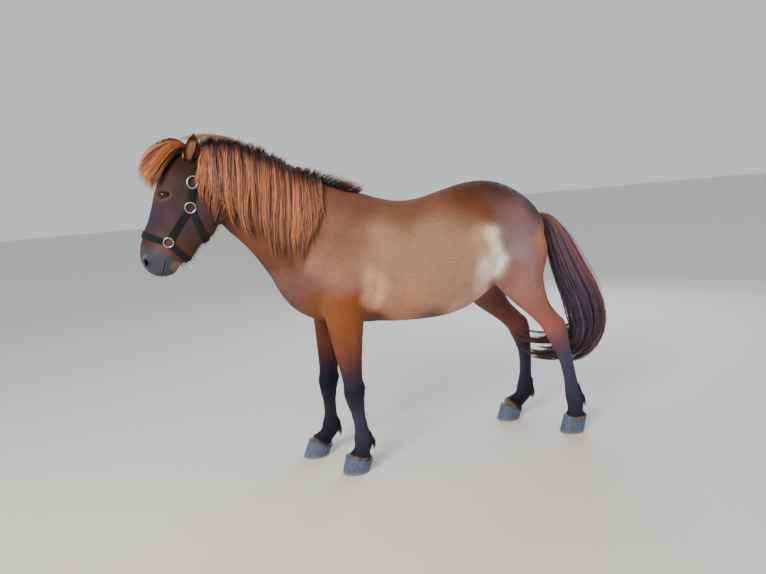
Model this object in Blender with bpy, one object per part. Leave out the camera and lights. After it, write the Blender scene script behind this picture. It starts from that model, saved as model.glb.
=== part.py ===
"""An Icelandic horse as a still, life-size model, standing with its head up, in a head collar.

Blender 4.5. Metres, +Z up. The horse faces -X and its left side is -Y. While it is made,
x = 0 is the middle of the left front hoof; the last step moves the middle of the box to x = 0.

The body is lofted from stations. Each station is a cut across the body: the point on its upper
or front line, the point on its lower or back line, and the half widths between them.
"""

import math

import bmesh
import bpy
import numpy as np
from mathutils import Matrix, Vector
from mathutils.bvhtree import BVHTree

# Driving dimensions
GAP = 0.0003                 # left between pieces that touch
MIDDLE_X = 0.295             # middle of the whole box, from the left front hoof
RING_POINTS = 32             # points round a cut of the trunk or head, and of a leg
LEG_POINTS = 20
TRUNK_BULGE = 0.78           # how round the cuts are: below 1 boxier than an ellipse
HEAD_BULGE = 0.66
LEG_BULGE = 0.90
RING_SIDES = 12              # a metal ring's segments, and the sides of its wire
WIRE_SIDES = 4
HOOF_POINTS = 16
CORE_POINTS = 8              # points round the core of the forelock or tail
STRAP_STEP = 0.015           # length of a strap's spans, and of the steps its line is found by
PATH_STEP = 0.002
BODY_VOXEL = 0.011           # grain of the body where its lofts grow together
HEAD_VOXEL = 0.0055
BODY_SMOOTHING = 6           # passes that soften the joins
HEAD_SMOOTHING = 5
BODY_TRIANGLES = 4500
HEAD_TRIANGLES = 2250
FAR = 0.6                    # longer than anything that is cut away

# Neck and trunk: top x, top z, bottom x, bottom z, half widths high, middle and low
TRUNK = (
    (-0.590, 1.622, -0.545, 1.300, 0.046, 0.070, 0.055),   # poll to throat
    (-0.500, 1.637, -0.500, 1.240, 0.042, 0.080, 0.060),
    (-0.390, 1.612, -0.430, 1.160, 0.045, 0.088, 0.064),
    (-0.270, 1.552, -0.375, 1.080, 0.052, 0.100, 0.078),   # middle of the neck
    (-0.150, 1.487, -0.330, 1.000, 0.062, 0.124, 0.105),
    (-0.030, 1.425, -0.288, 0.915, 0.074, 0.156, 0.140),   # breast
    (0.070, 1.382, -0.235, 0.835, 0.088, 0.185, 0.155),
    (0.150, 1.366, -0.130, 0.768, 0.106, 0.208, 0.165),    # withers
    (0.235, 1.336, 0.020, 0.738, 0.140, 0.232, 0.175),     # girth
    (0.330, 1.314, 0.190, 0.718, 0.175, 0.255, 0.190),
    (0.440, 1.318, 0.370, 0.705, 0.195, 0.268, 0.200),     # middle of the back
    (0.560, 1.346, 0.530, 0.708, 0.200, 0.264, 0.195),
    (0.680, 1.374, 0.660, 0.742, 0.200, 0.246, 0.175),     # loin
    (0.790, 1.379, 0.785, 0.812, 0.198, 0.228, 0.140),     # hips
    (0.890, 1.352, 0.900, 0.870, 0.180, 0.205, 0.130),
    (0.985, 1.296, 1.000, 0.900, 0.145, 0.170, 0.120),     # croup
    (1.055, 1.232, 1.055, 0.950, 0.095, 0.125, 0.095),
    (1.085, 1.175, 1.080, 1.010, 0.050, 0.070, 0.055),     # root of the tail
)

# Head: face line x and z, jaw line x and z, half widths at the face, the middle and the jaw
HEAD = (
    (-0.585, 1.635, -0.520, 1.480, 0.030, 0.045, 0.040),   # nape
    (-0.640, 1.630, -0.528, 1.400, 0.052, 0.068, 0.052),   # poll
    (-0.705, 1.593, -0.535, 1.310, 0.070, 0.082, 0.060),
    (-0.762, 1.528, -0.560, 1.245, 0.086, 0.090, 0.064),   # forehead
    (-0.801, 1.452, -0.600, 1.205, 0.088, 0.089, 0.060),   # eyes
    (-0.824, 1.386, -0.636, 1.180, 0.070, 0.082, 0.052),
    (-0.848, 1.328, -0.658, 1.153, 0.054, 0.070, 0.045),   # nose
    (-0.876, 1.272, -0.682, 1.131, 0.045, 0.059, 0.040),
    (-0.897, 1.216, -0.712, 1.118, 0.043, 0.053, 0.037),
    (-0.906, 1.160, -0.737, 1.108, 0.048, 0.052, 0.037),   # nostrils
    (-0.896, 1.112, -0.748, 1.088, 0.044, 0.050, 0.038),
    (-0.866, 1.077, -0.765, 1.070, 0.032, 0.040, 0.032),   # lips
    (-0.838, 1.063, -0.795, 1.060, 0.016, 0.020, 0.016),
)

# Legs: place between the joints 0 to 4, reach to the front and to the back, half width
FORE_SHAPE = (
    (0.00, 0.050, 0.060, 0.030),
    (0.35, 0.110, 0.120, 0.055),   # shoulder
    (0.75, 0.110, 0.120, 0.072),
    (1.00, 0.092, 0.100, 0.070),   # elbow
    (1.25, 0.077, 0.080, 0.058),
    (1.55, 0.062, 0.062, 0.047),   # forearm
    (1.80, 0.049, 0.051, 0.041),
    (2.00, 0.050, 0.053, 0.045),   # knee
    (2.18, 0.043, 0.045, 0.040),
    (2.38, 0.032, 0.036, 0.031),   # cannon
    (2.68, 0.030, 0.038, 0.029),
    (2.90, 0.038, 0.050, 0.036),
    (3.05, 0.040, 0.057, 0.039),   # fetlock
    (3.35, 0.036, 0.050, 0.036),
    (3.70, 0.042, 0.050, 0.041),   # pastern
    (4.00, 0.052, 0.066, 0.050),
    (4.40, 0.052, 0.062, 0.050),
)
HIND_SHAPE = (
    (-0.20, 0.060, 0.060, 0.040),
    (0.20, 0.160, 0.165, 0.075),   # hip
    (0.65, 0.165, 0.170, 0.098),
    (1.00, 0.120, 0.138, 0.092),   # stifle
    (1.30, 0.090, 0.090, 0.070),
    (1.60, 0.071, 0.047, 0.052),   # gaskin
    (1.85, 0.063, 0.050, 0.042),
    (2.00, 0.062, 0.057, 0.044),   # hock
    (2.15, 0.055, 0.045, 0.041),
    (2.38, 0.037, 0.037, 0.033),   # cannon
    (2.65, 0.031, 0.037, 0.030),
    (2.88, 0.038, 0.046, 0.036),
    (3.02, 0.041, 0.056, 0.040),   # fetlock
    (3.35, 0.038, 0.048, 0.037),
    (3.70, 0.043, 0.048, 0.041),   # pastern
    (4.00, 0.052, 0.064, 0.050),
    (4.40, 0.052, 0.062, 0.050),
)

# Joints of each leg: x, y, z of its top, its upper joint, knee or hock, fetlock and coronet
LEGS = {
    "leg_fore_left": (FORE_SHAPE, (
        (-0.020, -0.100, 1.120), (-0.012, -0.128, 0.800), (0.002, -0.130, 0.400),
        (0.018, -0.132, 0.160), (0.000, -0.135, 0.072))),
    "leg_fore_right": (FORE_SHAPE, (
        (-0.040, 0.100, 1.120), (-0.045, 0.128, 0.800), (-0.092, 0.130, 0.400),
        (-0.108, 0.132, 0.160), (-0.160, 0.135, 0.070))),
    "leg_hind_left": (HIND_SHAPE, (
        (0.900, -0.110, 1.130), (0.912, -0.135, 0.870), (1.105, -0.138, 0.565),
        (1.186, -0.138, 0.190), (1.194, -0.138, 0.080))),
    "leg_hind_right": (HIND_SHAPE, (
        (0.878, 0.110, 1.130), (0.802, 0.135, 0.838), (1.034, 0.150, 0.528),
        (1.045, 0.160, 0.175), (0.968, 0.162, 0.076))),
}

# Hooves: toe and heel on the ground, y, half width, then the coronet's front and back, x and z
HOOVES = {
    "hoof_fore_left": (-0.094, 0.046, -0.135, 0.060, (-0.070, 0.088), (0.072, 0.054)),
    "hoof_fore_right": (-0.264, -0.122, 0.135, 0.060, (-0.226, 0.088), (-0.094, 0.054)),
    "hoof_hind_left": (1.106, 1.238, -0.138, 0.056, (1.134, 0.096), (1.258, 0.062)),
    "hoof_hind_right": (0.872, 1.008, 0.162, 0.056, (0.902, 0.092), (1.030, 0.058)),
}
SOLE = 0.002                 # bevel round the bottom of a hoof

# Eyes, nostrils, mouth and ears, given for the left side
EYE = (-0.757, -0.0620, 1.429)
EYE_RADIUS = 0.0205
EYE_GRID = (14, 9)           # segments and rings of an eyeball and of its socket
ORBIT = ((-0.752, -0.0590, 1.432), (0.040, 0.0270, 0.032), -25)
EYE_OPENING = ((-0.758, -0.0830, 1.4285), (0.0205, 0.0160, 0.0105), 4)
CHEEK = ((-0.618, -0.0560, 1.330), (0.085, 0.0340, 0.092), 10)
FACE_RIDGE = ((-0.760, -0.0560, 1.350), (0.018, 0.0200, 0.070), 24)
NOSTRIL_RIM = ((-0.868, -0.0350, 1.142), (0.025, 0.0180, 0.032), -14)
NOSTRIL = ((-0.874, -0.0500, 1.138), (0.0095, 0.0180, 0.0185), -18)
CHIN = ((-0.772, 0.0, 1.092), (0.032, 0.0300, 0.026), 0)
MOUTH = ((-0.786, 1.142), (-0.836, 1.040))       # corner, and a point below the lips
MOUTH_DEPTH = 0.006
MOUTH_WIDTH = 0.0026
MOUTH_CUTS = 19
EAR_LINE = ((-0.630, -0.034, 1.560), (-0.624, -0.052, 1.590), (-0.613, -0.063, 1.625),
            (-0.601, -0.070, 1.662), (-0.592, -0.073, 1.694))
EAR_RADIUS = (0.020, 0.0245, 0.0275, 0.0185, 0.0022)
EAR_WRAP = (150, 135, 112, 92, 70)        # half the angle that the cup goes round, degrees
EAR_THICKNESS = (0.0060, 0.0050, 0.0042, 0.0034, 0.0014)
EAR_OPENING = (-0.35, -0.94, 0.0)         # the way the cup faces
EAR_POINTS = 6

# Where the body is parted: two points of each cut, x and z
POLL_CUT = ((-0.605, 1.760), (-0.505, 0.960))
NECK_CUT = ((0.090, 1.497), (-0.410, 0.858))
FORE_CUT = ((-0.26, 0.16), (0.015, 0.690), (0.290, 0.850))     # x from, to; then y, z; y, z
HIND_CUT = ((0.68, 1.18), (0.0, 0.760), (0.300, 0.988))
HIND_CUT_RISE = 0.5                      # how much a hind cut rises for each metre of x
HIND_CUT_X = 0.90                        # and where its heights above are meant

# Mane: root x and z, top of the hair, left tips x and z, right tips z, depth of the hair
MANE = (
    (-0.585, 1.622, 1.688, -0.572, 1.440, 1.500, 0.022),
    (-0.530, 1.634, 1.697, -0.540, 1.340, 1.440, 0.028),
    (-0.470, 1.632, 1.683, -0.490, 1.255, 1.400, 0.032),
    (-0.400, 1.615, 1.656, -0.424, 1.195, 1.370, 0.034),
    (-0.320, 1.578, 1.612, -0.345, 1.155, 1.340, 0.036),
    (-0.240, 1.535, 1.558, -0.262, 1.108, 1.320, 0.036),
    (-0.170, 1.497, 1.516, -0.190, 1.075, 1.310, 0.034),
    (-0.110, 1.465, 1.522, -0.120, 1.135, 1.310, 0.032),
    (-0.050, 1.436, 1.488, -0.066, 1.245, 1.320, 0.028),
    (0.010, 1.410, 1.452, -0.005, 1.320, 1.325, 0.022),
    (0.070, 1.383, 1.428, 0.070, 1.325, 1.330, 0.016),
    (0.130, 1.368, 1.408, 0.138, 1.322, 1.325, 0.012),
)

SUNK = 0.003                 # depth of the mane's root in the crest, before it is cut clear
SKIN_CLEAR = 3 * GAP         # how far skin is moved out to cut what grows on it
HAIR_CLEAR = 0.0025          # round an ear or a strap that hair passes
MANE_LIFT = 0.004            # from the skin to the hair, where it hangs free
MANE_SPREADS = 0.30          # share of the way down by which the mane has its full depth
MANE_LEAVES = 0.16           # share of the way down by which it hangs free of the skin
OVER_CREST = 0.02            # share of the way down in which it turns from the crest to a side

LOCK_SEED = 7

# Locks: how many, their width and thickness, all at the middle of their length
MANE_LEFT = (19, 0.0400, 0.0110)
MANE_OVER = (5, 0.0320, 0.0090)
MANE_RIGHT = (8, 0.0840, 0.0110)
WITHERS = (5, 0.0300, 0.0100)
FORELOCK_LOCKS = (12, 0.0340, 0.0100)
TAIL_OUTER = (12, 0.0500, 0.0180)
TAIL_INNER = (4, 0.0600, 0.0180)
OUTER_REACH = 0.98           # how far out of the tail's spine its locks run, by its half sizes
INNER_REACH = 0.50
TAIL_FROM = 0.10             # share of the spine where the tail's locks leave the dock
MANE_CORE = 0.48             # share of the way to the tips that the mane's core reaches
MANE_CORE_DEPTH = 0.62       # and its share of the hair's depth
TAIL_CORE_ROWS = 6           # how many of the tail's rows below its core reaches
TAIL_CORE_DEPTH = 0.72
TAIL_CORE_END = (0.8, 0.3)   # how its last two rows narrow

# Forelock: the line of its topmost hair and of its lowest, x and z
FORELOCK_TOP = ((-0.612, 1.606), (-0.640, 1.650), (-0.690, 1.678), (-0.752, 1.669), (-0.812, 1.638),
                (-0.852, 1.592), (-0.868, 1.545), (-0.866, 1.510))
FORELOCK_LOW = ((-0.625, 1.600), (-0.655, 1.626), (-0.694, 1.622), (-0.735, 1.594), (-0.772, 1.553),
                (-0.800, 1.510), (-0.816, 1.478), (-0.822, 1.452))
FORELOCK_CORE = ((-0.605, 1.596, 0.016, 0.018), (-0.632, 1.622, 0.024, 0.024),
                 (-0.672, 1.642, 0.028, 0.032), (-0.715, 1.636, 0.026, 0.038),
                 (-0.750, 1.614, 0.010, 0.020))
FORELOCK_SPREAD = (0.018, 0.074)          # half width at its root and at its tips

# Tail: spine x and z, half thickness, half width
TAIL = (
    (1.050, 1.190, 0.030, 0.030), (1.100, 1.166, 0.036, 0.036), (1.150, 1.138, 0.042, 0.042),
    (1.192, 1.057, 0.070, 0.052), (1.240, 0.941, 0.090, 0.060), (1.291, 0.821, 0.107, 0.066),
    (1.342, 0.708, 0.118, 0.070), (1.370, 0.600, 0.122, 0.072), (1.364, 0.505, 0.113, 0.070),
    (1.325, 0.430, 0.096, 0.064), (1.250, 0.390, 0.076, 0.056), (1.160, 0.395, 0.056, 0.048),
)

# Head collar: rings by x, z, radius along and across; straps by the rings they join
WEBBING_WIDTH = 0.030
WEBBING_THICKNESS = 0.003
GATHERED = 0.55              # share of its width that a strap keeps where it meets a ring
GATHER_LENGTH = 0.025
RING_WIRE = 0.0028
SKIN_GAP = 0.0016            # between a strap and the skin
SKIN_REACH = 0.02            # skin further from a strap than this is left out of account
RINGS = {
    "ring_upper": (-0.629, 1.474, 0.0280, 0.0220),
    "ring_cheek": (-0.651, 1.365, 0.0230, 0.0230),
    "ring_nose": (-0.766, 1.218, 0.0215, 0.0215),
}
SIDE_STRAPS = {"strap_cheek": ("ring_upper", "ring_cheek"), "strap_jaw": ("ring_cheek", "ring_nose")}
LOOP_STRAPS = {               # ring, and the point on the median that the strap goes round by
    "strap_crown": ("ring_upper", (-0.557, 1.640)),
    "strap_throat": ("ring_cheek", (-0.602, 1.200)),
    "strap_nose": ("ring_nose", (-0.880, 1.264)),
    "strap_chin": ("ring_nose", (-0.688, 1.112)),
}
CHIN_RING = 0.0150           # radius of the ring that hangs under the chin

# Colours of the whole pieces: sRGB, roughness, metallic
COLOURS = {
    "torso": ("#7D5C46", 0.65, 0.0), "neck": ("#6F4833", 0.65, 0.0), "head": ("#3C2A29", 0.6, 0.0),
    "leg": ("#231C20", 0.65, 0.0), "hoof": ("#4C4745", 0.5, 0.0), "ear": ("#5C4537", 0.7, 0.0),
    "eye": ("#140D0B", 0.12, 0.0), "mane": ("#94552B", 0.55, 0.0), "forelock": ("#A2622F", 0.55, 0.0),
    "tail": ("#2B1E1C", 0.5, 0.0), "strap": ("#14151B", 0.8, 0.0), "ring": ("#B9BDC1", 0.25, 1.0),
}


def spline(rows, per_span):
    """Rows of numbers made finer: a smooth curve through each column (Catmull-Rom)."""
    rows = np.asarray(rows, float)
    padded = np.vstack([2 * rows[0] - rows[1], rows, 2 * rows[-1] - rows[-2]])
    out = []
    for p0, p1, p2, p3 in zip(padded, padded[1:], padded[2:], padded[3:]):
        for t in np.arange(per_span) / per_span:
            out.append(p1 + 0.5 * t * (p2 - p0 + t * (2 * p0 - 5 * p1 + 4 * p2 - p3
                                                      + t * (3 * (p1 - p2) + p3 - p0))))
    out.append(rows[-1])
    return np.array(out)


def ring(top, bottom, widths, bulge, count):
    """One cut: down the far side from top to bottom and back up the near side.

    The half width at a share t of the way down is a parabola through the three widths, drawn
    in towards the two ends by a power of the sine, the bulge.
    """
    angle = 2 * math.pi * np.arange(count) / count
    share = (1 - np.cos(angle)) / 2
    high, middle, low = widths
    bend = 2 * (high + low - 2 * middle)
    width = middle + (low - high) * (share - 0.5) + bend * (share - 0.5) ** 2
    side = np.sign(np.sin(angle)) * np.abs(np.sin(angle)) ** bulge * width
    points = np.outer(1 - share, top) + np.outer(share, bottom)
    points[:, 1] += side
    return points


def mesh_object(name, points, faces):
    """An object of its own in the scene, from points and faces."""
    mesh = bpy.data.meshes.new(name)
    mesh.from_pydata([tuple(map(float, p)) for p in points], [], faces)
    obj = bpy.data.objects.new(name, mesh)
    bpy.context.scene.collection.objects.link(obj)
    return obj


def loft(name, rings):
    """A closed tube through rings of equally many points, each end closed by one face."""
    count = len(rings[0])
    faces = [tuple(range(count))[::-1], tuple(range((len(rings) - 1) * count, len(rings) * count))]
    for k in range(len(rings) - 1):
        for i in range(count):
            j = (i + 1) % count
            faces.append((k * count + i, k * count + j, (k + 1) * count + j, (k + 1) * count + i))
    obj = mesh_object(name, np.vstack(rings), faces)
    face_out(obj)
    return obj


def face_out(obj):
    """Turns every face of a closed mesh outwards."""
    work = bmesh.new()
    work.from_mesh(obj.data)
    bmesh.ops.recalc_face_normals(work, faces=work.faces)
    work.to_mesh(obj.data)
    work.free()


def station_loft(name, stations, bulge, per_span=3):
    """The neck and trunk, or the head: every station lies in the plane y = 0."""
    rings = [ring((row[0], 0, row[1]), (row[2], 0, row[3]), row[4:7], bulge, RING_POINTS)
             for row in spline(stations, per_span)]
    return loft(name, rings)


def along(joints, place):
    """The point at a place counted in joints, on a smooth curve that keeps near the bones."""
    fine = spline(joints, 24)
    at = np.clip(place * 24, -12, len(fine) - 1 + 12)
    low = int(np.clip(math.floor(at), 0, len(fine) - 2))
    return fine[low] + (fine[low + 1] - fine[low]) * (at - low)


def leg_loft(name, shape, joints, per_span=3):
    """A limb whose cuts stand square to the line through its joints."""
    rings = []
    for place, front, back, half in spline(shape, per_span):
        here = along(joints, place)
        line = along(joints, place + 0.12) - along(joints, place - 0.12)
        line /= np.linalg.norm(line)
        forward = np.array((line[2], 0.0, -line[0]))
        forward /= np.linalg.norm(forward)
        rings.append(ring(here + forward * front, here - forward * back,
                          (half * 0.93, half, half * 0.86), LEG_BULGE, LEG_POINTS))
    return loft(name, rings)


def apply_modifiers(obj):
    """The object keeps its evaluated mesh, and its modifiers go."""
    graph = bpy.context.evaluated_depsgraph_get()
    mesh = bpy.data.meshes.new_from_object(obj.evaluated_get(graph))
    obj.modifiers.clear()
    obj.data = mesh


def join_solids(name, pieces, solver="EXACT"):
    """One Boolean union of a collection of closed meshes into the first of them."""
    first, others = pieces[0], pieces[1:]
    collection = bpy.data.collections.new(name + "_pieces")
    bpy.context.scene.collection.children.link(collection)
    for piece in others:
        collection.objects.link(piece)
    union = first.modifiers.new("union", "BOOLEAN")
    union.operation = "UNION"
    union.solver = solver
    union.operand_type = "COLLECTION"
    union.collection = collection
    apply_modifiers(first)
    for piece in others:
        bpy.data.objects.remove(piece)
    bpy.data.collections.remove(collection)
    first.name = name
    return first


def grow_together(obj, voxel, smoothing, triangles):
    """Remeshes a union finely, so that its creases can soften, and thins it out again."""
    remesh = obj.modifiers.new("remesh", "REMESH")
    remesh.mode = "VOXEL"
    remesh.voxel_size = voxel
    smooth = obj.modifiers.new("smooth", "SMOOTH")
    smooth.factor = 0.5
    smooth.iterations = smoothing
    apply_modifiers(obj)
    thin = obj.modifiers.new("thin", "DECIMATE")
    thin.ratio = min(1.0, triangles / sum(len(f.vertices) - 2 for f in obj.data.polygons))
    apply_modifiers(obj)


def mirrored(point):
    return (point[0], -point[1], point[2])


def ellipsoid(name, centre, radii, tilt, segments=16, rings=10):
    """Tilt is in degrees about the y axis; the poles lie across the horse."""
    mesh = bpy.data.meshes.new(name)
    work = bmesh.new()
    bmesh.ops.create_uvsphere(work, u_segments=segments, v_segments=rings, radius=1.0)
    across = Matrix.Rotation(math.radians(90), 4, "X")
    shape = Matrix.Diagonal((*radii, 1.0))
    turn = Matrix.Rotation(math.radians(tilt), 4, "Y")
    bmesh.ops.transform(work, matrix=Matrix.Translation(centre) @ turn @ shape @ across,
                        verts=work.verts)
    work.to_mesh(mesh)
    work.free()
    obj = bpy.data.objects.new(name, mesh)
    bpy.context.scene.collection.objects.link(obj)
    face_out(obj)
    return obj


def both_sides(name, centre, radii, tilt):
    """An ellipsoid of the head's left side and the like one of its right."""
    if centre[1] == 0:
        return [ellipsoid(name, centre, radii, tilt)]
    return [ellipsoid(name, centre, radii, tilt), ellipsoid(name, mirrored(centre), radii, tilt)]


def box_on(name, corner, along_a, along_b, along_c):
    """A closed box from one corner and three edges."""
    corner, a, b, c = (np.asarray(v, float) for v in (corner, along_a, along_b, along_c))
    points = [corner, corner + a, corner + a + b, corner + b]
    points += [p + c for p in points]
    faces = [(0, 1, 2, 3), (4, 7, 6, 5), (0, 4, 5, 1), (1, 5, 6, 2), (2, 6, 7, 3), (3, 7, 4, 0)]
    obj = mesh_object(name, points, faces)
    face_out(obj)
    return obj


def cut(obj, cutter, solver="EXACT"):
    """Takes the cutter's volume out of the object, and removes the cutter."""
    difference = obj.modifiers.new("cut", "BOOLEAN")
    difference.operation = "DIFFERENCE"
    difference.solver = solver
    difference.object = cutter
    apply_modifiers(obj)
    bpy.data.objects.remove(cutter)


def loose_parts(obj):
    """The separate bodies of an object as objects of their own, the largest first."""
    work = bmesh.new()
    work.from_mesh(obj.data)
    work.verts.ensure_lookup_table()
    part_of = {}
    for seed in work.verts:
        if seed.index in part_of:
            continue
        part_of[seed.index] = seed.index
        waiting = [seed]
        while waiting:
            for edge in waiting.pop().link_edges:
                for vert in edge.verts:
                    if vert.index not in part_of:
                        part_of[vert.index] = seed.index
                        waiting.append(vert)
    groups = {}
    for face in work.faces:
        groups.setdefault(part_of[face.verts[0].index], []).append([v.index for v in face.verts])
    points = [tuple(v.co) for v in work.verts]
    work.free()
    parts = []
    for faces in groups.values():
        used = sorted({i for face in faces for i in face})
        place = {old: new for new, old in enumerate(used)}
        parts.append(mesh_object(obj.name + "_part", [points[i] for i in used],
                                 [tuple(place[i] for i in face) for face in faces]))
    bpy.data.objects.remove(obj)
    parts.sort(key=lambda part: -volume(part))
    return parts


def volume(obj):
    """Cubic metres inside a closed mesh."""
    work = bmesh.new()
    work.from_mesh(obj.data)
    size = work.calc_volume()
    work.free()
    return size


def largest_part(obj):
    """Keeps an object's largest body and drops the crumbs."""
    name = obj.name
    parts = loose_parts(obj)
    for part in parts[1:]:
        bpy.data.objects.remove(part)
    parts[0].name = name
    return parts[0]


def make_body():
    """Trunk, neck, head and legs as one body with soft joins."""
    pieces = [station_loft("trunk", TRUNK, TRUNK_BULGE), station_loft("skull", HEAD, HEAD_BULGE)]
    pieces += [leg_loft(name + "_loft", *parts) for name, parts in LEGS.items()]
    body = join_solids("body", pieces)
    grow_together(body, BODY_VOXEL, BODY_SMOOTHING, BODY_TRIANGLES)
    return body


def make_head_mass():
    """The head with the start of the neck, finer than the body, with its brows, cheeks and chin."""
    pieces = [station_loft("skull", HEAD, HEAD_BULGE), station_loft("nape", TRUNK[:4], TRUNK_BULGE)]
    for name, form in (("orbit", ORBIT), ("cheek", CHEEK), ("face_ridge", FACE_RIDGE),
                       ("nostril_rim", NOSTRIL_RIM), ("chin", CHIN)):
        pieces += both_sides(name, *form)
    head = join_solids("head", pieces)
    grow_together(head, HEAD_VOXEL, HEAD_SMOOTHING, HEAD_TRIANGLES)
    return head


def line_and_normal(ends):
    """The way from one point x, z to another, and a unit normal to it in the median plane."""
    (x1, z1), (x2, z2) = ends
    line = np.array((x2 - x1, 0.0, z2 - z1))
    return line, np.array((-line[2], 0.0, line[0])) / np.linalg.norm(line)


def half_space(name, cut_line, side):
    """All that lies on one side of a cut line, less half a gap: -1 is its front, 1 its back."""
    line, across = line_and_normal(cut_line)
    across *= side * np.sign(across[0])
    corner = np.array((cut_line[0][0], -FAR, cut_line[0][1])) - across * GAP / 2
    return box_on(name, corner, line, (0, 2 * FAR, 0), across * FAR)


def thin_plate(name, cut_line):
    """A plate as thick as the gap, that parts the body along a cut line."""
    line, across = line_and_normal(cut_line)
    corner = np.array((cut_line[0][0], -FAR, cut_line[0][1])) - across * GAP / 2
    return box_on(name, corner, line, (0, 2 * FAR, 0), across * GAP)


def leg_plates():
    """A thin sloping plate at the top of each leg, rising outwards."""
    plates = []
    for name, (reach, inner, outer) in (("fore", FORE_CUT), ("hind", HIND_CUT)):
        rise = HIND_CUT_RISE if name == "hind" else 0.0
        for side in (-1, 1):
            z_start = inner[1] + rise * (reach[0] - HIND_CUT_X)
            corner = (reach[0], side * inner[0], z_start)
            plates.append(box_on(
                name + "_plate", corner, (reach[1] - reach[0], 0, rise * (reach[1] - reach[0])),
                (0, side * (outer[0] - inner[0]), outer[1] - inner[1]), (0, 0, GAP)))
    return plates


def part_body(body):
    """Cuts the body where its parts meet, and names them."""
    cut(body, half_space("before_poll", POLL_CUT, -1))
    cut(body, thin_plate("neck_plate", NECK_CUT))
    for plate in leg_plates():
        cut(body, plate)
    parts = {}
    for part in loose_parts(body):
        centre = sum((v.co for v in part.data.vertices), Vector()) / len(part.data.vertices)
        if centre.z > 0.75:
            name = "neck" if centre.x < -0.1 else "torso"
        else:
            name = "leg_%s_%s" % ("fore" if centre.x < 0.5 else "hind",
                                  "left" if centre.y < 0 else "right")
        assert name not in parts, (name, tuple(centre))
        part.name = name
        parts[name] = part
    return parts


def hoof_ring(toe, heel, y, half, share):
    """A hoof's outline, round in front and straighter to the heels; toe and heel are x, z."""
    points = []
    for k in range(HOOF_POINTS):
        angle = 2 * math.pi * k / HOOF_POINTS
        along_x = (1 - math.cos(angle)) / 2
        width = half * (1.0 - 0.30 * max(0.0, along_x - 0.55) / 0.45)
        side = math.copysign(abs(math.sin(angle)) ** 0.75, math.sin(angle)) * width * share
        points.append((toe[0] + (heel[0] - toe[0]) * along_x, y + side,
                       toe[1] + (heel[1] - toe[1]) * along_x))
    return np.array(points)


def make_hoof(name, toe, heel, y, half, front, back):
    """A block of horn from its bevelled sole to the coronet, with a low rim under the coronet."""
    ground = hoof_ring((toe, 0.0), (heel, 0.0), y, half, 1.0)
    crown = hoof_ring(front, back, y, half, 0.86)
    inner = hoof_ring((toe + SOLE, 0.0), (heel - SOLE, 0.0), y, half - SOLE, 1.0)
    rings = [inner, ground + np.array((0, 0, SOLE))]
    for share, out in ((0.86, 0.0), (0.93, 0.0015), (1.0, -0.001)):
        level = ground + (crown - ground) * share
        middle = level.mean(axis=0)
        away = level - middle
        rings.append(level + away / np.linalg.norm(away, axis=1)[:, None] * out)
    return loft(name, rings)


def cut_leg_end(leg, front, back):
    """The leg ends on the plane of its coronet."""
    line, up = line_and_normal((front, back))
    start = np.array((front[0], -FAR, front[1])) - line * 0.6 + up * GAP
    cut(leg, box_on("below_coronet", start, line * 2.2, (0, 2 * FAR, 0), -up * 0.2))


def socket_cutters():
    """The sockets that the eyeballs fill, the openings between the lids, and the nostrils."""
    cutters = []
    for side in (1, -1):
        centre = (EYE[0], EYE[1] * side, EYE[2])
        cutters.append(ellipsoid("socket", centre, (EYE_RADIUS + GAP,) * 3, 0, *EYE_GRID))
        for centre, radii, tilt in (EYE_OPENING, NOSTRIL):
            centre = (centre[0], centre[1] * side, centre[2])
            cutters.append(ellipsoid("opening", centre, radii, tilt))
    return cutters


def mouth_cutter(tree):
    """A band in the plane of the lips that goes round the muzzle from corner to corner."""
    corner, below = (np.array((x, 0.0, z)) for x, z in MOUTH)
    line = below - corner
    line /= np.linalg.norm(line)
    square = np.array((-line[2], 0.0, line[0])) * MOUTH_WIDTH / 2
    rings = []
    for angle in np.radians(np.linspace(-90, 90, MOUTH_CUTS)):
        way = line * math.cos(angle) + np.array((0.0, math.sin(angle), 0.0))
        at = np.array(tree.ray_cast(Vector(corner + way * FAR), Vector(-way))[0])
        rings.append([at - way * MOUTH_DEPTH - square, at + way * 0.02 - square,
                      at + way * 0.02 + square, at - way * MOUTH_DEPTH + square])
    return loft("mouth", [np.array(r) for r in rings])


def skin_tree(objects):
    """A search tree over the surfaces of several objects."""
    points, faces = [], []
    for obj in objects:
        start = len(points)
        points += [tuple(v.co) for v in obj.data.vertices]
        faces += [tuple(i + start for i in f.vertices) for f in obj.data.polygons]
    return BVHTree.FromPolygons(points, faces)


def make_ear(side):
    """A cupped leaf: each cut is a thick arc, open to the side and a little forward."""
    name = "ear_left" if side == 1 else "ear_right"
    line = spline(EAR_LINE, 2) * (1, side, 1)
    sizes = spline(np.column_stack((EAR_RADIUS, EAR_WRAP, EAR_THICKNESS)), 2)
    opening = np.array(EAR_OPENING) * (1, side, 1)
    rings = []
    for k, (centre, (radius, wrap, thick)) in enumerate(zip(line, sizes)):
        axis = line[min(k + 1, len(line) - 1)] - line[max(k - 1, 0)]
        axis /= np.linalg.norm(axis)
        front = opening - axis * (opening @ axis)
        front /= np.linalg.norm(front)
        across = np.cross(axis, front)
        angles = np.radians(np.linspace(-wrap, wrap, EAR_POINTS))
        arc = [-math.cos(a) * front + math.sin(a) * across for a in angles]
        outer = [centre + way * radius for way in arc]
        inner = [centre + way * (radius - thick) for way in arc[::-1]]
        rings.append(np.array(outer + inner))
    return loft(name, rings)


def inflated(obj, amount):
    """A copy of an object with its skin moved out."""
    copy = bpy.data.objects.new(obj.name + "_wide", obj.data.copy())
    bpy.context.scene.collection.objects.link(copy)
    displace = copy.modifiers.new("out", "DISPLACE")
    displace.strength = amount
    displace.mid_level = 0.0
    apply_modifiers(copy)
    return copy


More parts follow.
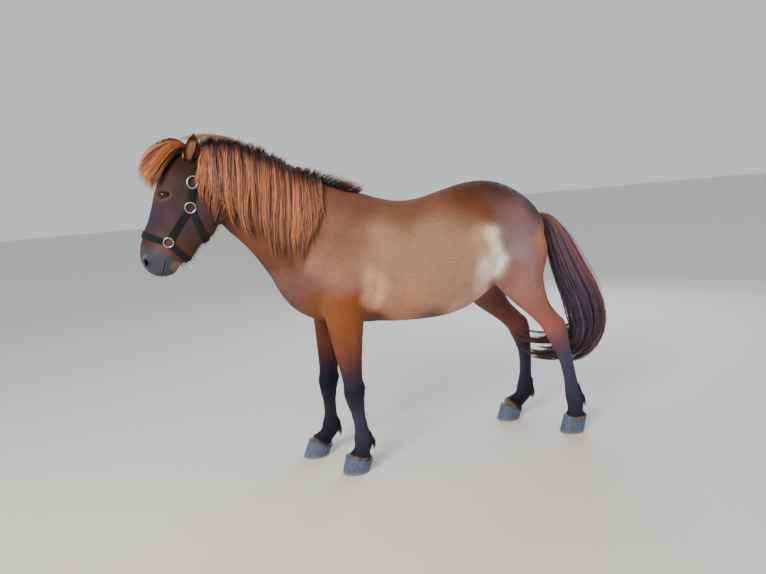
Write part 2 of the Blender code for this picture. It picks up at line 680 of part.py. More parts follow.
def hull_round(obj, amount):
    """The convex hull of an object with its skin moved out."""
    copy = inflated(obj, amount)
    work = bmesh.new()
    for vert in copy.data.vertices:
        work.verts.new(vert.co)
    hull = bmesh.ops.convex_hull(work, input=work.verts)
    bmesh.ops.delete(work, geom=hull["geom_interior"], context="VERTS")
    work.to_mesh(copy.data)
    work.free()
    face_out(copy)
    return copy


def make_eye(side):
    """An eyeball, which fills its socket."""
    name = "eye_left" if side == 1 else "eye_right"
    return ellipsoid(name, (EYE[0], EYE[1] * side, EYE[2]), (EYE_RADIUS,) * 3, 0, *EYE_GRID)


def spine_form(name, fine):
    """A form round a spine in the median plane: x, z, half thickness, half width."""
    rings = []
    for k, (x, z, thick, wide) in enumerate(fine):
        line = fine[min(k + 1, len(fine) - 1), :2] - fine[max(k - 1, 0), :2]
        line /= np.linalg.norm(line)
        normal = np.array((line[1], 0.0, -line[0]))
        angles = 2 * math.pi * np.arange(CORE_POINTS) / CORE_POINTS
        rings.append(np.array([np.array((x, 0, z)) + normal * math.cos(a) * thick
                               + np.array((0, math.sin(a) * wide, 0)) for a in angles]))
    return loft(name, rings)


def side_skin(tree, x, z, side):
    """Half width of the skin at x and z, on the side whose sign is given."""
    hit = tree.ray_cast(Vector((x, side, z)), Vector((0, -side, 0)))[0]
    return abs(hit.y) if hit else 0.0


def mane_row(place):
    """The mane's sizes at a place along the crest, from 0 at the poll to 1 at the withers."""
    at = np.clip(place, 0, 1) * (len(MANE) - 1)
    low = min(int(at), len(MANE) - 2)
    return np.array(MANE[low]) + (np.array(MANE[low + 1]) - np.array(MANE[low])) * (at - low)


def hair_point(tree, place, way, side, lift):
    """A point of the mane: way goes from 0 on the crest to 1 at the tips, lift is out of the skin.

    A lift of 0 lies on the skin, and a lift of 1 on the top of the hair.
    """
    x, _, top, tip_x, tip_z, right_z, depth = mane_row(place)
    crest = tree.ray_cast(Vector((x, 0, 3)), Vector((0, 0, -1)))[0].z - SUNK
    end = np.array((tip_x, tip_z) if side < 0 else (x, right_z))
    at = (1 - way) * np.array((x, crest + (top - crest) * lift)) + way * end
    rise = math.sin(min(1.0, way / MANE_SPREADS) * math.pi / 2) ** 0.8
    clear = min(MANE_LIFT, -SUNK + (MANE_LIFT + SUNK) * way / MANE_LEAVES)
    out = side_skin(tree, at[0], at[1], side) + clear * min(1.0, way / OVER_CREST)
    out += lift * depth * rise * (1 - 0.5 * way ** 3)
    return np.array((at[0], side * max(out, 0.0), at[1]))


def mane_core(tree):
    """A thick sheet over the crest that fills the mane's roots."""
    shares = np.linspace(-1, 1, 7) * MANE_CORE
    rings = []
    for place in np.linspace(0, 1, 11):
        outer = [hair_point(tree, place, abs(share), -1 if share >= 0 else 1,
                            MANE_CORE_DEPTH * (1 - 0.8 * (abs(share) / MANE_CORE) ** 4))
                 for share in shares]
        inner = [hair_point(tree, place, abs(share), -1 if share >= 0 else 1, 0.0)
                 for share in shares[::-1]]
        rings.append(np.array(outer + inner))
    return loft("mane", rings)


def lock(points, across, outwards, width, thickness):
    """A flat tapered lock along points, with a low ridge on its outer face.

    For each point, across holds the way of its width and outwards the side that faces out.
    """
    points = np.asarray(points, float)
    rings = []
    for k, point in enumerate(points):
        line = points[min(k + 1, len(points) - 1)] - points[max(k - 1, 0)]
        line /= np.linalg.norm(line)
        wide = across[k] - line * (across[k] @ line)
        wide /= np.linalg.norm(wide)
        thick = np.cross(line, wide)
        thick *= np.sign(thick @ outwards[k]) or 1.0
        share = k / (len(points) - 1)
        half = width / 2 * min(1.0, 0.7 + share) * min(1.0, 0.03 + 1.9 * (1 - share) ** 0.8)
        deep = thickness * min(1.0, 0.12 + 2.2 * (1 - share))
        rings.append(np.array((point - wide * half - thick * deep * 0.35,
                               point + thick * deep * 0.65,
                               point + wide * half - thick * deep * 0.35)))
    return loft("lock", rings)


def mane_lock(tree, place, side, reach, lift, width, thickness, lean):
    """A lock of the mane from the crest down one side of the neck."""
    ways = np.concatenate(((0.04, 0.20), np.linspace(0.45, 1.0, 3))) * reach
    points, across = [], []
    for way in ways:
        share = way / reach
        height = lift * (0.75 + 0.25 * min(1.0, share / 0.25)) * (1 - 0.35 * max(0, share - 0.6) / 0.4)
        here = place + lean * share
        points.append(hair_point(tree, here, way, side, height))
        step = hair_point(tree, here + 0.02, way, side, height)
        across.append(step - hair_point(tree, here - 0.02, way, side, height))
    outwards = [np.array((0.0, side, 0.5))] * len(points)
    return lock(points, across, outwards, width, thickness)


def mane_locks(tree, draw):
    """The left side's locks, the shorter ones over them, and the right side's."""
    made = []
    for (count, width, thickness), side, reach, lift in (
            (MANE_LEFT, -1, 1.0, 0.72), (MANE_OVER, -1, 0.84, 1.08), (MANE_RIGHT, 1, 1.0, 0.75)):
        for k in range(count):
            place = (k + 0.5 + draw.uniform(-0.1, 0.1)) / count
            made.append(mane_lock(tree, place, side, reach * draw.uniform(0.88, 1.02), lift,
                                  width * draw.uniform(0.94, 1.06), thickness,
                                  draw.uniform(-0.008, 0.008)))
    return made


def withers_locks(tree, draw):
    """Short tufts that stand up from the crest and fall back over the withers."""
    count, width, thickness = WITHERS
    made = []
    for k in range(count):
        place = 0.60 + 0.38 * k / (count - 1)
        x, _, top, *_ = mane_row(place)
        crest = tree.ray_cast(Vector((x, 0, 3)), Vector((0, 0, -1)))[0].z
        side = 0.022 * (-1) ** k * draw.uniform(0.3, 1.0)
        long = draw.uniform(0.085, 0.115)
        rise = (top - crest) * draw.uniform(0.8, 1.0)
        points = []
        for way in np.linspace(0, 1, 5):
            z = crest + 0.004 + rise * math.sin(way * 2.3) - 0.035 * way
            points.append((x + long * way, side * way, z))
        made.append(lock(points, [np.array((0.0, 1.0, 0.0))] * 5, [np.array((0.0, 0.0, 1.0))] * 5,
                         width, thickness))
    return made


def forelock_locks(draw):
    """Locks that rise from the poll, arch forward and fall over the forehead."""
    high, low = spline(FORELOCK_TOP, 4), spline(FORELOCK_LOW, 4)
    count, width, thickness = FORELOCK_LOCKS
    made = []
    for k in range(count):
        layer = (k % 3) / 2
        side = (k + 0.5) / count * 2 - 1 + draw.uniform(-0.06, 0.06)
        ends = draw.uniform(0.84, 1.0)
        mix = np.clip(layer * 0.92 + draw.uniform(0, 0.08), 0, 1) * (1 - 0.45 * side * side)
        points = []
        for share in np.linspace(0.06, ends, 6):
            at = share * (len(high) - 1)
            index = min(int(at), len(high) - 2)
            top = high[index] + (high[index + 1] - high[index]) * (at - index)
            under = low[index] + (low[index + 1] - low[index]) * (at - index)
            x, z = under + (top - under) * mix
            spread = FORELOCK_SPREAD[0] + (FORELOCK_SPREAD[1] - FORELOCK_SPREAD[0]) * share ** 0.8
            points.append((x + 0.10 * (side * spread) ** 2 / 0.05, side * spread, z))
        outwards = [np.array((x + 0.70, 0.0, z - 1.52)) for x, _, z in points]
        made.append(lock(points, [np.array((0.0, 1.0, 0.0))] * 6, outwards, width, thickness))
    return made


def tail_locks(draw):
    """Locks that leave the dock all round and hang along the tail's sweep to their own tips."""
    fine = spline(TAIL, 6)
    made = []
    for (count, width, thickness), reach in ((TAIL_OUTER, OUTER_REACH), (TAIL_INNER, INNER_REACH)):
        for k in range(count):
            angle = 2 * math.pi * (k + (1 - reach) + draw.uniform(-0.2, 0.2)) / count
            back = math.cos(angle)
            ends = 0.90 - 0.07 * back + draw.uniform(-0.06, 0.05)
            points, across, outwards = [], [], []
            for share in np.linspace(TAIL_FROM, ends, 8):
                at = share * (len(fine) - 1)
                index = min(int(at), len(fine) - 2)
                x, z, thick, wide = fine[index] + (fine[index + 1] - fine[index]) * (at - index)
                line = fine[index + 1][:2] - fine[index][:2]
                line /= np.linalg.norm(line)
                normal = np.array((-line[1], 0.0, line[0]))
                out = reach * (0.35 + 0.65 * min(1.0, (share - TAIL_FROM) / 0.25))
                radial = normal * back * thick + np.array((0.0, math.sin(angle) * wide, 0.0))
                points.append(np.array((x, 0.0, z)) + radial * out)
                around = -normal * math.sin(angle) * thick
                across.append(around + np.array((0.0, back * wide, 0.0)))
                outwards.append(radial)
            made.append(lock(points, across, outwards, width * draw.uniform(0.9, 1.1), thickness))
    return made


def tail_core():
    """The dock and the roots of the tail's hair as one tapered form."""
    rows = np.array(TAIL[:TAIL_CORE_ROWS])
    rows[:, 2:] *= TAIL_CORE_DEPTH
    rows[-2:, 2:] *= np.array(TAIL_CORE_END)[:, None]
    return spine_form("tail", rows)


def clear_station(points, trees, way, gap):
    """Moves points out together along one way until they all stand clear of the skins."""
    moved = np.array(points, float)
    for _ in range(40):
        worst = 1.0
        for point in moved:
            for tree in trees:
                near, normal, _, distance = tree.find_nearest(Vector(point))
                if distance < SKIN_REACH:
                    worst = min(worst, (Vector(point) - near).dot(normal))
        if worst >= gap:
            break
        moved = moved + way * (gap - worst + 0.0001)
    return moved


def hull_path(points, centre, way, across):
    """The taut line round points of one plane, as seen from the centre."""
    flat = [((p - centre) @ across, (p - centre) @ way) for p in points]
    keep = []
    for i, (cx, cy) in enumerate(flat):
        while len(keep) > 1:
            (ax, ay), (bx, by) = flat[keep[-2]], flat[keep[-1]]
            if (bx - ax) * (cy - ay) - (by - ay) * (cx - ax) < 0:
                break
            keep.pop()
        keep.append(i)
    return [points[i] for i in keep]


def resampled(points, step):
    """The same line with its points at even steps."""
    points = np.array(points)
    lengths = np.concatenate(([0], np.cumsum(np.linalg.norm(np.diff(points, axis=0), axis=1))))
    count = max(3, int(round(lengths[-1] / step)) + 1)
    at = np.linspace(0, lengths[-1], count)
    return np.column_stack([np.interp(at, lengths, points[:, k]) for k in range(3)])


def webbing(name, points, trees):
    """A flat strap along points on the skin, just clear of it and gathered where it ends."""
    points = resampled(points, STRAP_STEP)
    run = np.concatenate(([0], np.cumsum(np.linalg.norm(np.diff(points, axis=0), axis=1))))
    from_end = np.minimum(run, run[-1] - run)
    widths = WEBBING_WIDTH * np.minimum(1.0, GATHERED + (1 - GATHERED) * from_end / GATHER_LENGTH)
    normals = []
    for point in points:
        normals.append(np.array(trees[0].find_nearest(Vector(point))[1]))
    normals = np.array(normals)
    for _ in range(2):
        normals[1:-1] = (normals[:-2] + 2 * normals[1:-1] + normals[2:]) / 4
    rings = []
    for k, point in enumerate(points):
        along_strap = points[min(k + 1, len(points) - 1)] - points[max(k - 1, 0)]
        along_strap /= np.linalg.norm(along_strap)
        out = normals[k] - along_strap * (normals[k] @ along_strap)
        out /= np.linalg.norm(out)
        across = np.cross(along_strap, out) * widths[k] / 2
        low = clear_station([point - across, point, point + across], trees, out, SKIN_GAP)
        rings.append(np.array([low[0], low[2], low[2] + out * WEBBING_THICKNESS,
                               low[0] + out * WEBBING_THICKNESS]))
    return loft(name, rings)


def skin_point(tree, x, z, side):
    """The point of the head's side at x and z, and the way out there; side is -1 for the left."""
    hit, normal = tree.ray_cast(Vector((x, side, z)), Vector((0, -side, 0)))[:2]
    return np.array(hit), np.array(normal)


def metal_ring(name, centre, normal, long_way, radius_long, radius_across, trees):
    """A round or oval wire ring that lies on the skin."""
    out = np.asarray(normal, float)
    long_way = np.asarray(long_way, float) - out * (np.asarray(long_way, float) @ out)
    long_way /= np.linalg.norm(long_way)
    cross = np.cross(out, long_way)
    rings = []
    for a in 2 * math.pi * np.arange(RING_SIDES) / RING_SIDES:
        at = centre + long_way * radius_long * math.cos(a) + cross * radius_across * math.sin(a)
        away = long_way * math.cos(a) / radius_long + cross * math.sin(a) / radius_across
        away /= np.linalg.norm(away)
        rings.append([at + away * RING_WIRE * math.cos(b) + out * RING_WIRE * math.sin(b)
                      for b in 2 * math.pi * np.arange(WIRE_SIDES) / WIRE_SIDES])
    points = np.array(rings).reshape(-1, 3)
    if trees:
        points = clear_station(points, trees, out, SKIN_GAP)
    faces = []
    for k in range(RING_SIDES):
        for i in range(WIRE_SIDES):
            n, j = (k + 1) % RING_SIDES, (i + 1) % WIRE_SIDES
            faces.append((k * WIRE_SIDES + i, n * WIRE_SIDES + i, n * WIRE_SIDES + j,
                          k * WIRE_SIDES + j))
    obj = mesh_object(name, points, faces)
    face_out(obj)
    return obj


def outside_ring(points, centre, reach):
    """The points of a strap's line that lie beyond the ring it ends at."""
    return [point for point in points if np.linalg.norm(point - centre) > reach]


def make_collar(trees):
    """The head collar: rings on both cheeks, straps between them, and straps that go round."""
    tree = trees[0]
    made = []
    places = {}
    for name, (x, z, long_radius, cross_radius) in RINGS.items():
        for side, word in ((-1, "left"), (1, "right")):
            centre, normal = skin_point(tree, x, z, side)
            places[name, side] = (centre, max(long_radius, cross_radius) + RING_WIRE + GAP)
            made.append(metal_ring("%s_%s" % (name, word), centre, normal, (0.2, 0, 1.0),
                                   long_radius, cross_radius, trees))
    for name, (first, last) in SIDE_STRAPS.items():
        for side, word in ((-1, "left"), (1, "right")):
            start, end = np.array(RINGS[first][:2]), np.array(RINGS[last][:2])
            path = [skin_point(tree, *(start + (end - start) * t), side)[0]
                    for t in np.linspace(0, 1, 60)]
            for ring_name in (first, last):
                path = outside_ring(path, *places[ring_name, side])
            made.append(webbing("%s_%s" % (name, word), path, trees))
    for name, (ring_name, middle) in LOOP_STRAPS.items():
        x, z = RINGS[ring_name][:2]
        centre = np.array((x, 0.0, z))
        way = np.array((middle[0], 0.0, middle[1])) - centre
        way /= np.linalg.norm(way)
        across = np.array((0.0, 1.0, 0.0))
        path = []
        for angle in np.radians(np.linspace(-90, 90, 91)):
            out = way * math.cos(angle) + across * math.sin(angle)
            path.append(np.array(tree.ray_cast(Vector(centre + out * FAR), Vector(-out))[0]))
        path = list(resampled(hull_path(path, centre, way, across), PATH_STEP))
        for side in (-1, 1):
            path = outside_ring(path, *places[ring_name, side])
        made.append(webbing(name, path, trees))
    chin_strap = next(obj for obj in made if obj.name == "strap_chin")
    x, z = min(((v.co.x, v.co.z) for v in chin_strap.data.vertices), key=lambda at: at[1])
    centre = np.array((x, 0.0, z - CHIN_RING - RING_WIRE - GAP))
    made.append(metal_ring("ring_chin", centre, (0, 1, 0), (0, 0, 1), CHIN_RING, CHIN_RING, None))
    return made


def paint(obj):
    """A material of its own for the node, its shading smooth but for its sharp edges."""
    key = next(k for k in COLOURS if obj.name.startswith(k))
    colour, roughness, metallic = COLOURS[key]
    material = bpy.data.materials.new(obj.name)
    material.use_nodes = True
    shader = material.node_tree.nodes["Principled BSDF"]
    channels = [int(colour[k:k + 2], 16) / 255 for k in (1, 3, 5)]
    linear = [c / 12.92 if c <= 0.04045 else ((c + 0.055) / 1.055) ** 2.4 for c in channels]
    shader.inputs["Base Color"].default_value = (*linear, 1.0)
    shader.inputs["Roughness"].default_value = roughness
    shader.inputs["Metallic"].default_value = metallic
    material.diffuse_color = (*linear, 1.0)
    obj.data.materials.clear()
    obj.data.materials.append(material)
    obj.data.shade_smooth()
    obj.data.set_sharp_from_angle(angle=math.radians(40))


def main():
    """Makes every node and moves them all to the middle of the box."""
    for obj in list(bpy.data.objects):
        bpy.data.objects.remove(obj)
    parts = part_body(make_body())
    for name, (toe, heel, y, half, front, back) in HOOVES.items():
        leg = parts[name.replace("hoof", "leg")]
        cut_leg_end(leg, front, back)
        parts[name] = make_hoof(name, toe, heel, y, half, front, back)
    head = make_head_mass()
    tree = skin_tree([head])
    collar = make_collar([tree, skin_tree([parts["neck"]])])
    cut(head, half_space("behind_poll", POLL_CUT, 1))
    cut(head, mouth_cutter(tree))
    for cutter in socket_cutters():
        cut(head, cutter)
    ears = []
    for side in (1, -1):
        ear = make_ear(side)
        cut(ear, inflated(head, SKIN_CLEAR))
        ears.append(largest_part(ear))
    eyes = [make_eye(side) for side in (1, -1)]
    skin = skin_tree([head, parts["neck"], parts["torso"]])
    draw = np.random.RandomState(LOCK_SEED)
    locks = mane_locks(skin, draw) + withers_locks(skin, draw)
    mane = join_solids("mane", [mane_core(skin)] + locks, "MANIFOLD")
    core = spine_form("forelock", np.array(FORELOCK_CORE))
    forelock = join_solids("forelock", [core] + forelock_locks(draw), "MANIFOLD")
    tail = join_solids("tail", [tail_core()] + tail_locks(draw), "MANIFOLD")
    crown = [obj for obj in collar if obj.name == "strap_crown"]
    for hair, skins, others in ((mane, [head, parts["neck"], parts["torso"]], ears + crown),
                                (forelock, [head, parts["neck"]], ears + crown),
                                (tail, [parts["torso"]], [])):
        for obj in skins:
            cut(hair, inflated(obj, SKIN_CLEAR), "MANIFOLD")
        for obj in others:
            cut(hair, hull_round(obj, HAIR_CLEAR), "MANIFOLD")
    mane, forelock, tail = (largest_part(hair) for hair in (mane, forelock, tail))
    cut(forelock, inflated(mane, SKIN_CLEAR), "MANIFOLD")
    largest_part(forelock)
    for obj in bpy.data.objects:
        obj.data.transform(Matrix.Translation((-MIDDLE_X, 0, 0)))
        paint(obj)


main()
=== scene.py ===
# %% [markdown]
# # An Icelandic horse, dressed for a museum
# The frame gives the horse's size and stance as plain solids. This lesson puts on what the eye looks
# for: one skin over all the flesh, a short summer coat, a heavy mane, forelock and tail, eyes, hooves
# and a webbing head collar. Every shape below is a formula on a grid of two parameters, worked out
# with numpy as whole arrays, and every finish is a small tree of shader nodes.

import bmesh
import bpy
import numpy as np
from mathutils import Matrix, Vector
from mathutils.bvhtree import BVHTree


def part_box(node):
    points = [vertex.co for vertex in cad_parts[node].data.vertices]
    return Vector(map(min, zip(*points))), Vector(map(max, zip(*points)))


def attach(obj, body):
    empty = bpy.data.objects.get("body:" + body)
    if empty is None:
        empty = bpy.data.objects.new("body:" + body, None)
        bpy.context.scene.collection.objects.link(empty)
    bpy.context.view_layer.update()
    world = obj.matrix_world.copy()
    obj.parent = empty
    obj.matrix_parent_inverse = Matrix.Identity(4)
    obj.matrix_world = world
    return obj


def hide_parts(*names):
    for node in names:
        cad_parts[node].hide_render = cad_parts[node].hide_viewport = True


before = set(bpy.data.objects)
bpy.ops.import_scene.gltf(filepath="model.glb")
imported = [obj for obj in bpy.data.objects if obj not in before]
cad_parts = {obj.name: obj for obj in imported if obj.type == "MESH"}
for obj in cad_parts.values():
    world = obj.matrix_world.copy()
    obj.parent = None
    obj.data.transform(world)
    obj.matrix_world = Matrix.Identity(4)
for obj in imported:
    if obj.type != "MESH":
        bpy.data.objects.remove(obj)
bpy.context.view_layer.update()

# %% [markdown]
# ## Where things are
# Sizes below are metres. The horse faces -X, its left side is -Y and the floor is z = 0. They are
# measured from the middle of the left front hoof, as the stance was worked out from there, and each
# finished piece is moved into the frame by one step, which is read off that hoof's solid.

# %% The step from the left front hoof to the frame
TOE_X = -0.094                # the hoof's toe, measured from the hoof's middle
STEP = np.array((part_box("hoof_fore_left")[0].x - TOE_X, 0.0, 0.0))
SIDES = {"left": -1, "right": 1}
print("step into the frame:", STEP)

# %% [markdown]
# ## Curves, outlines and tubes
# Three tools carry most of the shapes. A Catmull-Rom curve makes a short list of stations smooth. An
# outline is one cut across the body, given by its top, its bottom and three half widths. A tube joins
# cuts into a closed surface.

# %% Curves
def spline(rows, per_span):
    """Smooth rows: between rows b and c a cubic in t that leaves b along c - a and meets c along d - b."""
    rows = np.asarray(rows, float)
    padded = np.vstack([2 * rows[0] - rows[1], rows, 2 * rows[-1] - rows[-2]])
    a, b, c, d = (padded[k:len(rows) - 1 + k, None] for k in range(4))
    t = (np.arange(per_span) / per_span)[None, :, None]
    between = b + 0.5 * t * (c - a + t * (2 * a - 5 * b + 4 * c - d + t * (3 * (b - c) + d - a)))
    return np.vstack([between.reshape(-1, rows.shape[1]), rows[-1]])


def at_share(rows, share):
    """Rows read at shares 0 to 1 of the way through them, straight between neighbours."""
    place = np.clip(share, 0, 1) * (len(rows) - 1)
    low = np.minimum(place.astype(int), len(rows) - 2)
    part = (place - low)[..., None]
    return rows[low] * (1 - part) + rows[low + 1] * part


def smoothstep(low, high, value):
    """0 up to low, 1 from high, and 3t^2 - 2t^3 between them; low may be the larger."""
    t = np.clip((value - low) / (high - low), 0, 1)
    return t * t * (3 - 2 * t)


def unit(vectors):
    """Vectors made one metre long."""
    return vectors / np.maximum(np.linalg.norm(vectors, axis=-1, keepdims=True), 1e-9)


# %% Outlines and tubes
def outlines(top, bottom, widths, bulge, count):
    """Cuts across the body, an array of station x point x 3.

    Round a cut by an angle a, the share of the way from top to bottom is (1 - cos a) / 2. The half
    width there is the parabola through the three widths, times |sin a| to the power of the bulge.
    """
    angle = 2 * np.pi * np.arange(count) / count
    share = (1 - np.cos(angle)) / 2
    high, middle, low = (widths[:, k:k + 1] for k in range(3))
    bend = 2 * (high + low - 2 * middle)
    width = middle + (low - high) * (share - 0.5) + bend * (share - 0.5) ** 2
    cuts = top[:, None] * (1 - share)[:, None] + bottom[:, None] * share[:, None]
    cuts[..., 1] += np.sign(np.sin(angle)) * np.abs(np.sin(angle)) ** bulge * width
    return cuts


def tube(cuts):
    """Points and faces of the closed tube through cuts: four-sided spans and a face at each end."""
    rows, count = cuts.shape[:2]
    index = np.arange(rows * count).reshape(rows, count)
    after = np.roll(index, -1, axis=1)
    spans = np.stack([index[:-1], after[:-1], after[1:], index[1:]], axis=-1).reshape(-1, 4)
    return cuts.reshape(-1, 3), [spans, index[:1, ::-1], index[-1:]]


def mesh_object(name, points, faces):
    """An object at the origin from points and face arrays, each array holding faces of one size."""
    mesh = bpy.data.meshes.new(name)
    corners = np.concatenate([part.ravel() for part in faces]).astype(np.int32)
    sizes = np.concatenate([np.full(len(part), part.shape[1]) for part in faces])
    starts = np.concatenate(([0], np.cumsum(sizes)[:-1])).astype(np.int32)
    mesh.vertices.add(len(points))
    mesh.vertices.foreach_set("co", np.ascontiguousarray(points, np.float32).ravel())
    mesh.loops.add(len(corners))
    mesh.loops.foreach_set("vertex_index", corners)
    mesh.polygons.add(len(sizes))
    mesh.polygons.foreach_set("loop_start", starts)
    mesh.update(calc_edges=True)
    obj = bpy.data.objects.new(name, mesh)
    bpy.context.scene.collection.objects.link(obj)
    return obj


def face_out(obj):
    """Turns the faces of a closed mesh outwards."""
    work = bmesh.new()
    work.from_mesh(obj.data)
    bmesh.ops.recalc_face_normals(work, faces=work.faces)
    work.to_mesh(obj.data)
    work.free()


def points_of(obj):
    """A mesh's points as an array."""
    points = np.empty(len(obj.data.vertices) * 3, np.float32)
    obj.data.vertices.foreach_get("co", points)
    return points.reshape(-1, 3).astype(float)


def set_points(obj, points):
    """Puts changed points back into a mesh."""
    obj.data.vertices.foreach_set("co", np.ascontiguousarray(points, np.float32).ravel())
    obj.data.update()


def normals_of(obj):
    """The way out at each point of a mesh."""
    normals = np.empty(len(obj.data.vertices) * 3, np.float32)
    obj.data.vertex_normals.foreach_get("vector", normals)
    return normals.reshape(-1, 3).astype(float)


def apply_modifiers(obj):
    """The object keeps its evaluated mesh, and its modifiers go."""
    graph = bpy.context.evaluated_depsgraph_get()
    mesh = bpy.data.meshes.new_from_object(obj.evaluated_get(graph))
    obj.modifiers.clear()
    obj.data = mesh


def triangles_in(obj):
    """How many triangles a mesh has."""
    return sum(len(face.vertices) - 2 for face in obj.data.polygons)


def finish_piece(obj, material, slot, *nodes, smooth=True):
    """Moves a piece into the frame, dresses it, puts it on the root and hides the solids it stands for."""
    set_points(obj, points_of(obj) + STEP)
    obj.data.materials.clear()
    obj.data.materials.append(material)
    if smooth:
        obj.data.shade_smooth()
    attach(obj, "root")
    if nodes:
        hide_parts(*nodes)
    print(obj.name, triangles_in(obj), "triangles")
    return obj


# %% [markdown]
# ## Shader nodes
# Colours are written as the sRGB hex values that a paint chart would give, and one function turns
# them into the linear numbers that light is worked out with. Another adds any node with its settings
# and links.

# %% Colours and nodes
def linear(colour):
    """The linear red, green and blue of an sRGB hex colour."""
    channels = np.array([int(colour[k:k + 2], 16) / 255 for k in (1, 3, 5)])
    return np.where(channels <= 0.04045, channels / 12.92, ((channels + 0.055) / 1.055) ** 2.4)


def add(tree, kind, inputs=(), **settings):
    """Adds a node. Inputs pair a socket's name or number with a value or another node's output."""
    node = tree.nodes.new(kind)
    for key, value in settings.items():
        setattr(node, key, value)
    for key, value in dict(inputs).items():
        socket = node.inputs[key]
        if isinstance(value, bpy.types.NodeSocket):
            tree.links.new(value, socket)
        else:
            socket.default_value = value
    return node


def new_material(name, roughness, **sockets):
    """A material with its shader's plain sockets set, and its node tree and shader."""
    material = bpy.data.materials.new(name)
    material.use_nodes = True
    tree = material.node_tree
    shader = tree.nodes["Principled BSDF"]
    shader.inputs["Roughness"].default_value = roughness
    for key, value in sockets.items():
        shader.inputs[key.replace("_", " ")].default_value = value
    return material, tree, shader


def store_colour(obj, name, colours):
    """Keeps one linear colour for each point of a mesh, for its material to read."""
    layer = obj.data.color_attributes.new(name, "FLOAT_COLOR", "POINT")
    rgba = np.ones((len(colours), 4), np.float32)
    rgba[:, :3] = colours
    layer.data.foreach_set("color", rgba.ravel())

# %% [markdown]
# ## The skin
# A real horse has one skin from lip to hoof, so it is one mesh here. The trunk, the head and each leg
# start as tubes through stations, as a sculptor starts with a wire and clay. A voxel remesh grows the
# tubes into one closed surface, and smoothing fills the creases where they met, as muscle does.

# %% Stations of the trunk and the head
# Top x and z, bottom x and z, then the half widths high, in the middle and low
TRUNK = (
    (-0.590, 1.622, -0.545, 1.300, 0.046, 0.070, 0.055),   # poll to throat
    (-0.500, 1.637, -0.500, 1.240, 0.042, 0.080, 0.060),
    (-0.390, 1.612, -0.430, 1.160, 0.045, 0.088, 0.064),
    (-0.270, 1.552, -0.375, 1.080, 0.052, 0.100, 0.078),   # middle of the neck
    (-0.150, 1.487, -0.330, 1.000, 0.062, 0.124, 0.105),
    (-0.030, 1.425, -0.288, 0.915, 0.074, 0.156, 0.140),   # breast
    (0.070, 1.382, -0.235, 0.835, 0.088, 0.185, 0.155),
    (0.150, 1.366, -0.130, 0.768, 0.106, 0.208, 0.165),    # withers
    (0.235, 1.336, 0.020, 0.738, 0.140, 0.232, 0.175),     # girth
    (0.330, 1.314, 0.190, 0.718, 0.175, 0.255, 0.190),
    (0.440, 1.318, 0.370, 0.705, 0.195, 0.268, 0.200),     # middle of the back
    (0.560, 1.346, 0.530, 0.708, 0.200, 0.264, 0.195),
    (0.680, 1.374, 0.660, 0.742, 0.200, 0.246, 0.175),     # loin
    (0.790, 1.379, 0.785, 0.812, 0.198, 0.228, 0.140),     # hips
    (0.890, 1.352, 0.900, 0.870, 0.180, 0.205, 0.130),
    (0.985, 1.296, 1.000, 0.900, 0.145, 0.170, 0.120),     # croup
    (1.055, 1.232, 1.055, 0.950, 0.095, 0.125, 0.095),
    (1.085, 1.175, 1.080, 1.010, 0.050, 0.070, 0.055),     # root of the tail
)
HEAD = (
    (-0.585, 1.635, -0.520, 1.480, 0.030, 0.045, 0.040),   # nape
    (-0.640, 1.630, -0.528, 1.400, 0.052, 0.068, 0.052),   # poll
    (-0.705, 1.593, -0.535, 1.310, 0.070, 0.082, 0.060),
    (-0.762, 1.528, -0.560, 1.245, 0.086, 0.090, 0.064),   # forehead
    (-0.801, 1.452, -0.600, 1.205, 0.088, 0.089, 0.060),   # eyes
    (-0.824, 1.386, -0.636, 1.180, 0.070, 0.082, 0.052),
    (-0.848, 1.328, -0.658, 1.153, 0.054, 0.070, 0.045),   # nose
    (-0.876, 1.272, -0.682, 1.131, 0.045, 0.059, 0.040),
    (-0.897, 1.216, -0.712, 1.118, 0.043, 0.053, 0.037),
    (-0.906, 1.160, -0.737, 1.108, 0.048, 0.052, 0.037),   # nostrils
    (-0.896, 1.112, -0.748, 1.088, 0.044, 0.050, 0.038),
    (-0.866, 1.077, -0.765, 1.070, 0.032, 0.040, 0.032),   # lips
    (-0.838, 1.063, -0.795, 1.060, 0.016, 0.020, 0.016),
)


def body_tube(stations, bulge):
    """The tube of the trunk or the head: every station is a cut that stands across the horse."""
    rows = spline(stations, 5)
    flat = np.zeros(len(rows))
    top = np.column_stack((rows[:, 0], flat, rows[:, 1]))
    bottom = np.column_stack((rows[:, 2], flat, rows[:, 3]))
    return tube(outlines(top, bottom, rows[:, 4:7], bulge, 64))


